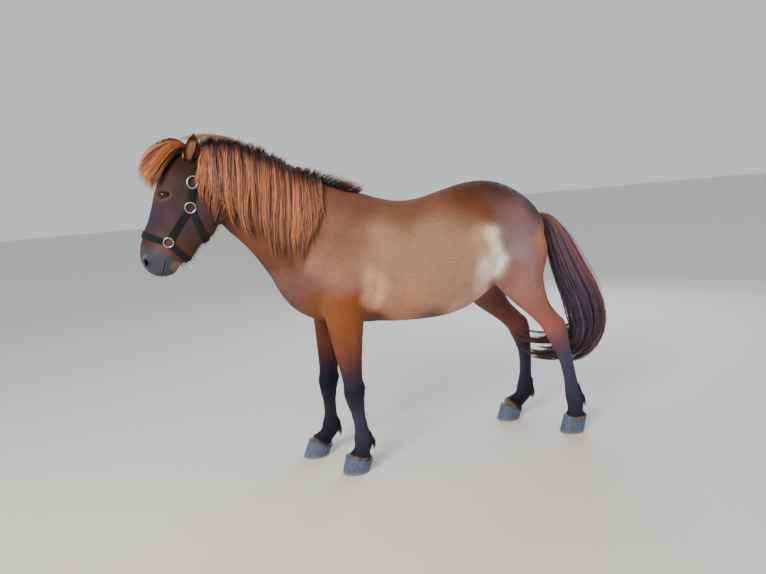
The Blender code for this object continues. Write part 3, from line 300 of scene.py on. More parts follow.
# %% Stations and joints of the legs
# Place between the joints 0 to 4, reach to the front and to the back, half width
FORE_SHAPE = (
    (0.00, 0.050, 0.060, 0.030), (0.35, 0.110, 0.120, 0.055), (0.75, 0.110, 0.120, 0.072),
    (1.00, 0.092, 0.100, 0.070), (1.25, 0.077, 0.080, 0.058), (1.55, 0.062, 0.062, 0.047),
    (1.80, 0.049, 0.051, 0.041), (2.00, 0.050, 0.053, 0.045), (2.18, 0.043, 0.045, 0.040),
    (2.38, 0.032, 0.036, 0.031), (2.68, 0.030, 0.038, 0.029), (2.90, 0.038, 0.050, 0.036),
    (3.05, 0.040, 0.057, 0.039), (3.35, 0.036, 0.050, 0.036), (3.70, 0.042, 0.050, 0.041),
    (4.00, 0.050, 0.060, 0.048), (4.20, 0.046, 0.054, 0.044),
)
HIND_SHAPE = (
    (-0.20, 0.060, 0.060, 0.040), (0.20, 0.160, 0.165, 0.075), (0.65, 0.165, 0.170, 0.098),
    (1.00, 0.120, 0.138, 0.092), (1.30, 0.090, 0.090, 0.070), (1.60, 0.071, 0.047, 0.052),
    (1.85, 0.063, 0.050, 0.042), (2.00, 0.062, 0.057, 0.044), (2.15, 0.055, 0.045, 0.041),
    (2.38, 0.037, 0.037, 0.033), (2.65, 0.031, 0.037, 0.030), (2.88, 0.038, 0.046, 0.036),
    (3.02, 0.041, 0.056, 0.040), (3.35, 0.038, 0.048, 0.037), (3.70, 0.043, 0.048, 0.041),
    (4.00, 0.050, 0.058, 0.048), (4.20, 0.046, 0.052, 0.044),
)
# Joints of each leg: its top, its upper joint, knee or hock, fetlock and coronet
LEGS = {
    "fore_left": (FORE_SHAPE, (
        (-0.020, -0.100, 1.120), (-0.012, -0.128, 0.800), (0.002, -0.130, 0.400),
        (0.018, -0.132, 0.160), (0.000, -0.135, 0.072))),
    "fore_right": (FORE_SHAPE, (
        (-0.040, 0.100, 1.120), (-0.045, 0.128, 0.800), (-0.092, 0.130, 0.400),
        (-0.108, 0.132, 0.160), (-0.160, 0.135, 0.070))),
    "hind_left": (HIND_SHAPE, (
        (0.900, -0.110, 1.130), (0.912, -0.135, 0.870), (1.105, -0.138, 0.565),
        (1.186, -0.138, 0.190), (1.194, -0.138, 0.080))),
    "hind_right": (HIND_SHAPE, (
        (0.878, 0.110, 1.130), (0.802, 0.135, 0.838), (1.034, 0.150, 0.528),
        (1.045, 0.160, 0.175), (0.968, 0.162, 0.076))),
}


def leg_line(name, places):
    """Points on the smooth line of a leg's joints, and the unit way forward there, square to it."""
    fine = spline(LEGS[name][1], 24)

    def read(where):
        at = np.clip(where * 24, -12, len(fine) + 11)
        low = np.clip(np.floor(at).astype(int), 0, len(fine) - 2)
        return fine[low] + (fine[low + 1] - fine[low]) * (at - low)[:, None]

    places = np.atleast_1d(np.asarray(places, float))
    along = unit(read(places + 0.12) - read(places - 0.12))
    forward = unit(np.column_stack((along[:, 2], np.zeros(len(places)), -along[:, 0])))
    return read(places), forward


def leg_tube(name):
    """A limb's tube: its cuts stand square to the line through its joints."""
    rows = spline(LEGS[name][0], 5)
    here, forward = leg_line(name, rows[:, 0])
    front = here + forward * rows[:, 1:2]
    back = here - forward * rows[:, 2:3]
    widths = rows[:, 3:4] * (0.93, 1.0, 0.86)
    return tube(outlines(front, back, widths, 0.9, 40))


# %% Grow the tubes together
SKIN_VOXEL = 0.0098           # grain of the body's skin
SKIN_SMOOTHING = 8

pieces = [body_tube(TRUNK, 0.78), body_tube(HEAD, 0.66)] + [leg_tube(name) for name in LEGS]
tubes = []
for tube_points, tube_faces in pieces:
    tubes.append(mesh_object("tube", tube_points, tube_faces))
    face_out(tubes[-1])
skin = tubes[0]
with bpy.context.temp_override(active_object=skin, selected_editable_objects=tubes):
    bpy.ops.object.join()
skin.name = "skin"
remesh = skin.modifiers.new("grow together", "REMESH")
remesh.mode = "VOXEL"
remesh.voxel_size = SKIN_VOXEL
soften = skin.modifiers.new("soften", "SMOOTH")
soften.factor = 0.5
soften.iterations = SKIN_SMOOTHING
apply_modifiers(skin)
print("skin grown together:", triangles_in(skin), "triangles")

# %% [markdown]
# ## Finer skin where there is more to see
# A voxel of a few millimetres is right for a flank and far too coarse for an eyelid. The faces of the
# head are split once, and those round the eyes, nostrils and mouth again. Splitting leaves flat
# faces, so each new area is relaxed: every point moves to the mean of its neighbours.

# %% Splitting and relaxing
EYE_MIDDLE = np.array((-0.757, -0.0585, 1.429))
EYE_RADIUS = 0.0240
POLL_LINE = ((-0.605, 1.760), (-0.505, 0.960))     # x, z of two points between head and neck


def before_poll(points):
    """How far in front of the plane between head and neck a point lies."""
    (x1, z1), (x2, z2) = POLL_LINE
    length = np.hypot(x2 - x1, z2 - z1)
    return ((points[:, 2] - z1) * (x2 - x1) - (points[:, 0] - x1) * (z2 - z1)) / length * -1


def split(obj, chosen):
    """Splits every edge whose two ends are chosen."""
    work = bmesh.new()
    work.from_mesh(obj.data)
    edges = [e for e in work.edges if chosen[e.verts[0].index] and chosen[e.verts[1].index]]
    bmesh.ops.subdivide_edges(work, edges=edges, cuts=1, use_grid_fill=True)
    work.to_mesh(obj.data)
    work.free()


def relax(obj, weight, rounds):
    """Moves each point, by its weight, to the mean of its neighbours, round after round."""
    points = points_of(obj)
    ends = np.empty(len(obj.data.edges) * 2, np.int32)
    obj.data.edges.foreach_get("vertices", ends)
    ends = ends.reshape(-1, 2)
    start, stop = np.concatenate((ends, ends[:, ::-1])).T
    count = np.bincount(start, minlength=len(points))[:, None]
    for _ in range(rounds):
        total = np.column_stack([np.bincount(start, points[stop, k], len(points)) for k in range(3)])
        points += (total / count - points) * weight[:, None]
    set_points(obj, points)


def face_zone(points, reach):
    """True near an eye, a nostril or the mouth, out to a reach round each."""
    across = np.abs(points[:, 1])
    flat = np.column_stack((points[:, 0], across, points[:, 2]))
    near_eye = np.linalg.norm(flat - (-0.757, 0.082, 1.429), axis=1) < reach + 0.006
    near_nostril = np.linalg.norm(flat - (-0.872, 0.045, 1.138), axis=1) < reach
    near_mouth = np.linalg.norm(flat - (-0.805, 0.030, 1.095), axis=1) < reach + 0.022
    return near_eye | near_nostril | near_mouth


for chosen_zone in (lambda p: before_poll(p) > -0.01, lambda p: face_zone(p, 0.034),
                    lambda p: face_zone(p, 0.020)):
    chosen = chosen_zone(points_of(skin))
    split(skin, chosen)
    relax(skin, 0.5 * chosen_zone(points_of(skin)), 4)
    print("split:", triangles_in(skin), "triangles")

# %% [markdown]
# ## Muscle and bone
# The tubes give the masses; what makes a horse is what lies under its skin. Each line of the tables
# is one mound or hollow, a bell curve pushed out along the skin: the point of the shoulder, the
# groove of the jugular vein, the tendons behind the cannon bone. Those of the body are placed by
# x, y and z, those of the legs by how far down the leg and which way round it they are.

# %% Charts of the legs
def leg_charts(points):
    """Which leg a point belongs to (-1 none), its place down it, and metres forward and outward of it.

    The place is that of the nearest of many points on the leg's line, with the step on from there
    along the line added.
    """
    which = np.full(len(points), -1)
    nearest = np.full(len(points), 0.19)
    chart = np.zeros((len(points), 3))
    places = np.linspace(0.0, 4.4, 89)
    for index, name in enumerate(LEGS):
        line, forward = leg_line(name, places)
        side = -1 if "left" in name else 1
        here = np.flatnonzero((points[:, 1] * side > 0.004) & (points[:, 2] < 1.02)
                              & (np.abs(points[:, 0] - np.interp(-points[:, 2], -line[:, 2], line[:, 0]))
                                 < 0.20))
        off = points[here, None] - line[None]
        gap = np.linalg.norm(off, axis=2)
        best = gap.argmin(axis=1)
        row = np.arange(len(here))
        closer = gap[row, best] < nearest[here]
        here, off, best = here[closer], off[row, best][closer], best[closer]
        step = np.gradient(line, places, axis=0)[best]
        which[here] = index
        nearest[here] = np.linalg.norm(off, axis=1)
        chart[here, 0] = places[best] + (off * step).sum(axis=1) / (step ** 2).sum(axis=1)
        chart[here, 1] = (off * forward[best]).sum(axis=1)
        chart[here, 2] = off[:, 1] * side
    return which, chart[:, 0], chart[:, 1], chart[:, 2]


def on_limb(name, place, forward, z, start, full):
    """1 on a limb and 0 off it: from start to full down the leg, and by how far out of its own cut."""
    rows = np.array(LEGS[name][0])
    reach = np.interp(place, rows[:, 0], rows[:, 1:3].max(axis=1))
    off = smoothstep(1.50, 1.08, np.abs(forward) / reach)
    return smoothstep(start, full, place) * off * smoothstep(1.02, 0.90, z)


# %% Mounds and hollows
# x, y, z, then the reach along the tilted way, across the horse and square to both, tilt in degrees
# from level (towards the tail and up), and millimetres out of the skin
BODY_FORMS = (
    (-0.050, 0.15, 1.130, 0.190, 0.20, 0.032, 52, 4.0),      # spine of the shoulder blade
    (-0.135, 0.12, 1.190, 0.170, 0.20, 0.026, 57, -6.0),     # between neck and shoulder
    (-0.240, 0.15, 0.985, 0.060, 0.12, 0.050, 0, 9.0),       # point of the shoulder
    (0.040, 0.18, 0.930, 0.105, 0.12, 0.075, 20, 9.0),       # muscle above the elbow
    (0.140, 0.20, 0.900, 0.110, 0.12, 0.028, 80, -8.0),      # behind it
    (0.100, 0.17, 0.800, 0.034, 0.08, 0.040, 0, 7.0),        # elbow
    (-0.285, 0.065, 0.935, 0.050, 0.045, 0.070, 0, 9.0),     # breast
    (-0.290, 0.0, 0.950, 0.060, 0.014, 0.110, 0, -9.0),      # between the breasts
    (-0.405, 0.07, 1.150, 0.180, 0.08, 0.020, 130, -5.0),    # groove of the jugular vein
    (-0.330, 0.09, 1.190, 0.160, 0.10, 0.040, 132, 4.0),     # muscle above it
    (-0.400, 0.08, 1.420, 0.180, 0.10, 0.050, 148, 3.0),     # crest of the neck
    (0.655, 0.20, 1.165, 0.070, 0.12, 0.075, 20, -8.0),      # hollow of the flank
    (0.735, 0.19, 1.268, 0.042, 0.10, 0.034, 0, 8.0),        # point of the hip
    (0.850, 0.17, 1.250, 0.100, 0.14, 0.070, 160, 5.0),      # croup muscle
    (0.740, 0.20, 0.955, 0.100, 0.10, 0.022, 140, 7.0),      # fold of the flank
    (0.795, 0.20, 0.985, 0.090, 0.10, 0.020, 135, -6.0),     # behind the fold
    (0.790, 0.19, 0.880, 0.050, 0.10, 0.050, 0, 9.0),        # stifle
    (0.990, 0.18, 1.010, 0.200, 0.12, 0.020, 88, -5.5),      # groove down the thigh
    (1.055, 0.08, 1.130, 0.045, 0.07, 0.060, 0, 6.0),        # point of the buttock
    (1.070, 0.0, 1.000, 0.060, 0.022, 0.150, 0, -9.0),       # between the thighs
    (0.930, 0.0, 1.340, 0.120, 0.016, 0.060, 160, -4.0),     # groove along the croup
    (0.180, 0.10, 0.745, 0.035, 0.16, 0.040, 0, -5.0),       # where the girth lies
    (0.370, 0.0, 0.700, 0.200, 0.030, 0.040, 0, -3.0),       # midline of the belly
    (-0.728, 0.070, 1.482, 0.017, 0.05, 0.014, 60, -6.5),    # hollow above the eye
    (-0.700, 0.080, 1.444, 0.046, 0.05, 0.011, 165, 4.5),    # cheekbone behind the eye
    (-0.838, 0.050, 1.290, 0.080, 0.05, 0.011, 108, -3.5),   # along the nose bone
    (-0.702, 0.070, 1.285, 0.060, 0.05, 0.014, 60, -4.0),    # front edge of the cheek muscle
    (-0.588, 0.070, 1.385, 0.120, 0.06, 0.018, 100, -6.0),   # behind the jaw
    (-0.640, 0.0, 1.190, 0.110, 0.016, 0.050, 125, -8.0),    # between the jaws
    (-0.762, 0.060, 1.250, 0.060, 0.05, 0.016, 112, -3.0),   # hollow of the cheek
    (-0.846, 0.0, 1.420, 0.120, 0.012, 0.060, 110, 1.5),     # ridge of the nose
    (-0.842, 0.052, 1.190, 0.018, 0.04, 0.026, 110, -4.0),   # behind the nostril
)
# Place down the leg, reach of it, degrees round it (0 front, 90 outside, 180 back), reach of those,
# and millimetres out of the skin
FOOT_FORMS = (
    (2.50, 0.30, 100, 17, -3.5), (2.50, 0.30, -100, 17, -3.5), (2.50, 0.30, 180, 24, 2.5),
    (3.00, 0.08, 90, 35, 2.5), (3.00, 0.08, -90, 35, 2.5), (3.04, 0.07, 180, 34, 5.0),
    (3.12, 0.03, 180, 16, 5.0), (3.50, 0.18, 180, 36, -4.0), (3.96, 0.10, 0, 400, 7.5),
)
LEG_FORMS = {
    "fore": (
        (1.25, 0.28, 20, 45, 4.0), (1.20, 0.25, 160, 40, 3.0), (1.40, 0.30, 95, 15, -3.0),
        (1.72, 0.06, -90, 15, 3.0), (2.00, 0.09, 0, 50, 2.5), (2.00, 0.07, 90, 30, 2.5),
        (2.00, 0.07, -90, 30, 2.5), (1.92, 0.06, 180, 30, 7.0), (2.14, 0.05, 180, 30, -3.0),
    ) + FOOT_FORMS,
    "hind": (
        (1.35, 0.22, 60, 45, 4.0), (1.72, 0.15, 180, 18, 4.0), (1.70, 0.18, 138, 15, -6.5),
        (1.70, 0.18, -138, 15, -6.5), (1.90, 0.07, 180, 22, 9.0), (2.00, 0.10, 0, 40, 2.0),
        (2.04, 0.07, 90, 30, 3.0), (2.04, 0.07, -90, 30, 3.0), (2.22, 0.05, -100, 15, 2.5),
    ) + FOOT_FORMS,
}


def bell(points, form):
    """A form's weight at each point: exp(-d^2), d the distance measured in its reaches."""
    x, y, z, along, across, square, tilt = form[:7]
    turn = np.radians(tilt)
    off_x, off_z = points[:, 0] - x, points[:, 2] - z
    first = (off_x * np.cos(turn) + off_z * np.sin(turn)) / along
    second = (off_z * np.cos(turn) - off_x * np.sin(turn)) / square
    third = (np.abs(points[:, 1]) - y) / across
    return np.exp(-(first ** 2 + second ** 2 + third ** 2))


def push_forms(obj):
    """Pushes every mound out and every hollow in, along the way out of the skin."""
    points, normals = points_of(obj), normals_of(obj)
    amount = sum(bell(points, form) * form[7] for form in BODY_FORMS)
    which, place, forward, outward = leg_charts(points)
    around = np.degrees(np.arctan2(outward, forward))
    for index, name in enumerate(LEGS):
        here = (which == index) * on_limb(name, place, forward, points[:, 2], 0.5, 1.0)
        for at, reach, way, spread, height in LEG_FORMS[name[:4]]:
            turn = (around - way + 180) % 360 - 180
            amount = amount + here * height * np.exp(-((place - at) / reach) ** 2 - (turn / spread) ** 2)
    set_points(obj, points + normals * amount[:, None] / 1000)


# %% Swellings of the head
# x, y, z of the middle, radii along, across and up, and degrees of tilt
SWELLINGS = (
    (-0.752, 0.0590, 1.432, 0.040, 0.0270, 0.032, -25),      # rim of the eye socket
    (-0.618, 0.0560, 1.330, 0.085, 0.0340, 0.092, 10),       # cheek
    (-0.760, 0.0560, 1.350, 0.018, 0.0200, 0.070, 24),       # crest of the face
    (-0.868, 0.0350, 1.142, 0.025, 0.0180, 0.032, -14),      # round the nostril
    (-0.836, 0.0300, 1.092, 0.024, 0.0170, 0.022, 10),       # upper lip
)
SWELL_BLEND = 0.010           # how softly a swelling runs into the skull


def swell(obj):
    """Each swelling is half an ellipsoid on the side of the head; the skin rises to it.

    Its height is y + radius times sqrt(1 - d^2). The new half width is the smooth larger of the
    old one and that height: where they differ by less than the blend, a parabola joins them.
    """
    points, normals = points_of(obj), normals_of(obj)
    side = np.sign(points[:, 1])
    for x, y, z, along, across, up, tilt in SWELLINGS:
        turn = np.radians(tilt)
        off_x, off_z = points[:, 0] - x, points[:, 2] - z
        first = (off_x * np.cos(turn) + off_z * np.sin(turn)) / along
        second = (off_z * np.cos(turn) - off_x * np.sin(turn)) / up
        inside = np.clip(1 - first ** 2 - second ** 2, 0, 1)
        height = y + across * np.sqrt(inside)
        width = np.abs(points[:, 1])
        blend = np.clip(0.5 + 0.5 * (height - width) / SWELL_BLEND, 0, 1)
        risen = width * (1 - blend) + height * blend + SWELL_BLEND * blend * (1 - blend) * 0.5
        facing = smoothstep(0.1, 0.55, np.abs(normals[:, 1])) * smoothstep(0.0, 0.25, inside)
        points[:, 1] = side * (width + np.maximum(risen - width, 0) * facing)
    set_points(obj, points)


push_forms(skin)
swell(skin)
relax(skin, 0.5 * (before_poll(points_of(skin)) > 0), 3)
# Trunk and thigh are one muscle over the hip, so the crease where their tubes met is eased out.
HIP_CREASE = np.array((0.905, 0.0, 1.058))
from_crease = np.linalg.norm((points_of(skin) - HIP_CREASE) * (1, 0, 1), axis=1)
relax(skin, 0.7 * np.exp(-(from_crease / 0.11) ** 2), 30)
print("sculpted:", len(BODY_FORMS), "forms of the body,", len(SWELLINGS), "swellings of the head")

# %% [markdown]
# ## Eyelids, nostrils and lips
# A horse's eye is a ball of about 4 cm set in the side of the skull, looking a little forward. The
# lids are skin two millimetres thick lying on that ball, so the skin round the opening is moved onto a
# ball a little larger, and inside the opening it is moved behind the eye. The nostril is a comma shaped
# hollow with a raised rim, and the mouth a groove between two rolls of lip.

# %% Eyelids
LID = 0.0022                  # thickness of a lid
EYE_HALF = 0.0205             # half length of the opening
EYE_UP, EYE_DOWN = 0.0115, 0.0085
EYE_TURN = 4                  # degrees that its long axis is turned


def eye_frame(side):
    """The ways to the tail, up and out of the head at an eye, as rows."""
    out = unit(np.array((-0.28, side * 0.955, 0.06)))
    up = unit(np.array((0.0, 0.0, 1.0)) - out * out[2])
    back = np.cross(up, out) * side * -1
    turn = np.radians(EYE_TURN)
    return np.array((back * np.cos(turn) + up * np.sin(turn), up * np.cos(turn) - back * np.sin(turn), out))


def lid_edges(u):
    """Heights of the upper and the lower lid edge at u: 1 - |u|^p of each height, an almond."""
    share = np.clip(np.abs(u) / EYE_HALF, 0, 1)
    lean = 0.0022 * u / EYE_HALF
    return EYE_UP * (1 - share ** 2.3) + lean, -EYE_DOWN * (1 - share ** 1.9) + lean


def shape_lids(obj):
    """Lays the skin round each eye on the ball, and drops it behind the ball in the opening."""
    points = points_of(obj)
    for side in (-1, 1):
        middle = EYE_MIDDLE * (1, -side, 1)
        ways = eye_frame(side)
        u, v, w = ((points - middle) @ ways.T).T
        near = (np.hypot(u, v) < 0.045) & (w > 0)
        ring = np.hypot(u / 0.0310, v / np.where(v > 0, 0.0215, 0.0175))
        ball = np.sqrt(np.clip((EYE_RADIUS + LID) ** 2 - u ** 2 - v ** 2, 1e-6, None))
        deep = np.sqrt(np.clip((EYE_RADIUS - 0.004) ** 2 - u ** 2 - v ** 2, 1e-6, None))
        high, low = lid_edges(u)
        inside = np.minimum(high - v, v - low)
        opened = smoothstep(-0.0004, 0.0010, inside) * (np.abs(u) < EYE_HALF)
        lid = ball * (1 - opened) + deep * opened
        lid -= 0.0016 * np.exp(-((v - high - 0.0060 + 4 * u ** 2) / 0.0014) ** 2) * (v > 0)
        lid -= 0.0010 * np.exp(-((v - low + 0.0050 - 3 * u ** 2) / 0.0014) ** 2) * (v < 0)
        lid += 0.0008 * np.exp(-((inside + 0.0012) / 0.0010) ** 2)
        blend = smoothstep(1.25, 0.75, ring) * near
        w = w * (1 - blend) + lid * blend
        brow = np.exp(-((v - 0.0235 + 12 * u ** 2) / 0.0060) ** 2 - (u / 0.026) ** 2) * near
        w = w + 0.0030 * brow - 0.0018 * np.exp(-((v - 0.0165 + 10 * u ** 2) / 0.0020) ** 2
                                                - (u / 0.020) ** 2) * near
        moved = middle + np.stack((u, v, w), axis=1) @ ways
        points = np.where(near[:, None], moved, points)
    set_points(obj, points)


# %% Nostrils and lips
NOSTRIL = (-0.874, 1.138)     # x, z of its middle
MOUTH = np.array(((-0.790, 1.140), (-0.797, 1.118), (-0.803, 1.098), (-0.811, 1.080), (-0.816, 1.055),
                  (-0.820, 1.030)))


def line_distance(points, line):
    """Distance in x and z from a line of points, with its sign, and metres along the line."""
    fine = spline(line, 12)
    off = points[:, None, (0, 2)] - fine[None]
    best = (off ** 2).sum(axis=2).argmin(axis=1)
    way = unit(np.gradient(fine, axis=0))[best]
    off = off[np.arange(len(points)), best]
    run = np.concatenate(([0], np.cumsum(np.linalg.norm(np.diff(fine, axis=0), axis=1))))[best]
    return way[:, 0] * off[:, 1] - way[:, 1] * off[:, 0], run + (off * way).sum(axis=1)


def shape_muzzle(obj):
    """Sinks the nostrils and the line of the mouth, and rolls up their rims."""
    points, normals = points_of(obj), normals_of(obj)
    here = np.flatnonzero(points[:, 2] < 1.22)
    near, out = points[here], normals[here]
    turn = np.radians(-20)
    off_x, off_z = near[:, 0] - NOSTRIL[0], near[:, 2] - NOSTRIL[1]
    first = off_x * np.cos(turn) - off_z * np.sin(turn)
    second = off_z * np.cos(turn) + off_x * np.sin(turn)
    narrow = 0.0070 * (1 + 0.35 * np.clip(-second / 0.0185, -1, 1))
    ring = np.hypot((first + 14 * second ** 2) / narrow, second / 0.0185)
    side = smoothstep(0.02, 0.03, np.abs(near[:, 1]))
    sunk = smoothstep(1.12, 0.70, ring) * side
    rim = np.exp(-((ring - 1.30) / 0.22) ** 2) * side
    amount = -0.0035 * sunk + 0.0028 * rim
    across, run = line_distance(near, MOUTH)
    closed = smoothstep(-0.002, 0.012, run)
    amount -= 0.0050 * np.exp(-(across / 0.0018) ** 2) * closed
    amount += 0.0022 * np.exp(-((np.abs(across) - 0.0065) / 0.0040) ** 2) * closed
    near += out * amount[:, None]
    inward = np.stack((0.35 * np.ones(len(near)), -np.sign(near[:, 1]) * 0.85, 0.40 * np.ones(len(near))), 1)
    near += inward * (0.0125 * sunk)[:, None]
    points[here] = near
    set_points(obj, points)


shape_muzzle(skin)
shape_lids(skin)
relax(skin, 0.35 * face_zone(points_of(skin), 0.030), 1)
print("lids, nostrils and lips shaped")

# %% [markdown]
# ## Ears
# An ear is a leaf of cartilage rolled into a cup. Its cuts are arcs: wide ones that almost close at
# the base, and flat ones near the tip. It is joined to the skin as one solid.

# %% Leaves of the ears
EAR_LINE = ((-0.634, -0.030, 1.545), (-0.630, -0.036, 1.560), (-0.624, -0.052, 1.590), (-0.613, -0.063, 1.625),
            (-0.601, -0.070, 1.662), (-0.593, -0.073, 1.688))
EAR_RADIUS = (0.0180, 0.0200, 0.0240, 0.0265, 0.0180, 0.0030)
EAR_WRAP = (158, 150, 132, 110, 92, 74)       # half the angle that the cup goes round
EAR_THICKNESS = (0.0060, 0.0052, 0.0040, 0.0032, 0.0026, 0.0012)
EAR_OPENING = (-0.35, -0.94, 0.0)             # the way the cup faces


def ear_leaf(side):
    """Cuts of one ear: out along the back of an arc and home along its front."""
    line = spline(EAR_LINE, 7) * (1, -side, 1)
    sizes = spline(np.column_stack((EAR_RADIUS, np.radians(EAR_WRAP), EAR_THICKNESS)), 7)
    way = unit(np.gradient(line, axis=0))
    face = np.array(EAR_OPENING) * (1, -side, 1)
    face = unit(face - way * (way @ face)[:, None])
    across = np.cross(way, face)
    part = np.linspace(-1, 1, 19)
    angle = sizes[:, 1:2] * part
    radius, thick = sizes[:, 0:1, None], sizes[:, 2:3] * (1 - 0.55 * np.abs(part) ** 3)
    ways = -face[:, None] * np.cos(angle)[..., None] + across[:, None] * np.sin(angle)[..., None]
    ripple = 1 + 0.03 * np.sin(5 * angle)[..., None]
    middle = line[:, None] + face[:, None] * (0.35 * radius)
    outer = middle + ways * radius * ripple
    inner = middle + ways * (radius * ripple - thick[..., None])
    return np.concatenate((outer, inner[:, ::-1]), axis=1)


def cut_with(obj, other, operation):
    """Joins a solid to another, or cuts it away, and removes it."""
    cutter = obj.modifiers.new("boolean", "BOOLEAN")
    cutter.operation = operation
    cutter.solver = "MANIFOLD"
    cutter.object = other
    apply_modifiers(obj)
    bpy.data.objects.remove(other)


for side in (-1, 1):
    leaf = mesh_object("leaf", *tube(ear_leaf(side)))
    face_out(leaf)
    cut_with(skin, leaf, "UNION")
print("with ears:", triangles_in(skin), "triangles")

# %% [markdown]
# ## Hair
# A lock is a spline through a few control points. It is given body as a slim closed solid with a three
# sided cut: two corners lie flat on the coat and one stands up, so that it catches the light as a
# bundle of hairs does. Thousands of them share one grid formula.

# %% Closed strands
def strands(paths, across, widths, rise):
    """Points and faces of closed strands with three sided cuts that end in a tip.

    paths is strand x step x 3. At each step two corners lie at plus and minus the half width along
    across, and the third stands half a width times rise off them, square to the strand.
    """
    count, steps = paths.shape[:2]
    way = unit(np.gradient(paths, axis=1))
    across = unit(across - way * (across * way).sum(axis=2, keepdims=True))
    outward = np.cross(way, across)
    half = widths[..., None]
    corners = np.stack((paths - across * half, paths + across * half, paths + outward * half * rise), axis=2)
    points = np.concatenate((corners[:, :-1].reshape(count, -1, 3), paths[:, -1:]), axis=1)
    size = points.shape[1]
    first = (np.arange(count) * size)[:, None]
    ring = np.arange(steps - 2)[:, None] * 3
    side = np.arange(3)[None]
    after = (side + 1) % 3
    quads = np.stack((ring + side, ring + after, ring + 3 + after, ring + 3 + side), axis=-1).reshape(-1, 4)
    last = (steps - 2) * 3
    tips = np.stack((last + side[0], last + after[0], np.full(3, size - 1)), axis=-1)
    caps = np.vstack((np.array([[2, 1, 0]]), tips))
    quads = (first[:, :, None] + quads[None]).reshape(-1, 4)
    caps = (first[:, :, None] + caps[None]).reshape(-1, 3)
    return points.reshape(-1, 3), [quads, caps], size


def curve_through(controls, steps):
    """Strand x control x 3 points made into smooth strand x step x 3 paths."""
    count, knots = controls.shape[:2]
    fine = spline(controls.transpose(1, 0, 2).reshape(knots, -1), 8)
    share = np.linspace(0, 1, steps)
    return at_share(fine, share).reshape(steps, count, 3).transpose(1, 0, 2)

# %% [markdown]
# ## Colours of the coat
# This horse is a dark bay in its summer coat: cream at the flank, tan on the ribs and belly, red
# brown on the quarters and plum brown on the head, and its legs darken to black. Light is painted
# into some of these colours: a painted orange rim light on the back edge of the buttock, a painted
# mauve and blue sky reflection on the hindquarter, the hind legs, the lower legs and the muzzle,
# and painted shade along the top of loin and croup, under the belly, under the forelock and on the
# inner side of each leg. A few named places carry a colour each, and every point of the skin takes
# a mean of those near it. Each wisp takes the skin's own colour at its root, so skin and coat always
# agree.

# %% Places and their colours
# x, z, reach, colour
COAT_PLACES = (
    (0.12, 1.36, 0.10, "#6A4434"), (0.31, 1.29, 0.10, "#6C4630"), (0.48, 1.34, 0.12, "#6B422A"),
    # The loin and croup places on this line are dark red brown, made darker still as painted shade from above.
    (0.62, 1.24, 0.07, "#68381D"), (0.67, 1.33, 0.09, "#50291A"), (0.84, 1.36, 0.10, "#31140D"),
    # The hip, hindquarter and thigh places (x 0.83 to 0.93) are red brown with a painted mauve sky reflection.
    (1.00, 1.25, 0.07, "#44211A"), (0.83, 1.24, 0.07, "#7B5750"), (0.91, 1.17, 0.09, "#876A6C"),
    # The two places at the back edge of the buttock (x 1.05 and 1.03) are orange as a painted warm rim light.
    (0.87, 1.05, 0.09, "#907376"), (1.05, 1.06, 0.05, "#AC7352"), (1.03, 0.92, 0.05, "#9C5E40"),
    (0.93, 0.91, 0.07, "#997068"), (0.84, 0.93, 0.05, "#7A5146"), (0.80, 0.86, 0.04, "#6E473B"),
    (0.733, 1.120, 0.030, "#F4DCC6"), (0.750, 1.050, 0.032, "#FFF6E8"), (0.755, 0.975, 0.034, "#FFFDF6"),
    (0.742, 0.905, 0.036, "#FFF4E4"), (0.700, 0.985, 0.045, "#F6DAC2"), (0.685, 0.865, 0.046, "#E8C8AC"),
    (0.665, 1.090, 0.055, "#B48D74"), (0.56, 1.17, 0.07, "#9C7661"), (0.595, 0.80, 0.05, "#C89C80"),
    # The place at the bottom of the belly (0.40, 0.71) is darker as painted shade under the belly.
    (0.52, 0.90, 0.10, "#B48973"), (0.35, 0.86, 0.09, "#B08069"), (0.40, 0.71, 0.06, "#6A483A"),
    (0.30, 0.79, 0.06, "#B4805F"), (0.44, 1.06, 0.14, "#9C7866"), (0.22, 1.10, 0.10, "#9A7562"),
    (0.118, 0.870, 0.030, "#D2A588"), (0.130, 0.950, 0.040, "#BC9078"), (0.01, 1.16, 0.10, "#7C5645"),
    (-0.06, 1.02, 0.09, "#94695A"), (-0.24, 0.95, 0.08, "#6E4A45"), (-0.24, 1.08, 0.04, "#5F3C30"),
    (-0.36, 1.12, 0.07, "#5E3828"), (-0.25, 1.25, 0.12, "#7A4A34"), (-0.45, 1.40, 0.12, "#5A3426"),
    # The place at the bottom of the girth (0.10, 0.72) is darker as painted shade under the body.
    (0.01, 0.82, 0.06, "#894A25"), (-0.10, 0.86, 0.08, "#74452F"), (0.10, 0.72, 0.06, "#5A3B30"),
    (-0.55, 1.28, 0.05, "#3E261F"), (-0.62, 1.33, 0.08, "#3A2E33"), (-0.69, 1.45, 0.06, "#36272A"),
    # The place at -0.66, 1.56, in front of the ear, is dark hair made darker as painted shade under the
    # forelock.
    (-0.78, 1.50, 0.06, "#50342A"), (-0.66, 1.56, 0.05, "#24140F"), (-0.84, 1.33, 0.06, "#352B36"),
    # The nose place on the line above and the muzzle places below (z 1.09 to 1.17) are dark grey with a painted
    # blue sky reflection.
    (-0.74, 1.30, 0.04, "#453337"), (-0.71, 1.20, 0.04, "#4A3129"), (-0.86, 1.245, 0.035, "#3E2A2C"),
    (-0.80, 1.215, 0.035, "#5A4340"), (-0.88, 1.17, 0.035, "#3E3A42"), (-0.85, 1.12, 0.045, "#3D414E"),
    (-0.80, 1.09, 0.030, "#3C424F"), (-0.757, 1.098, 0.015, "#785C4C"),
)
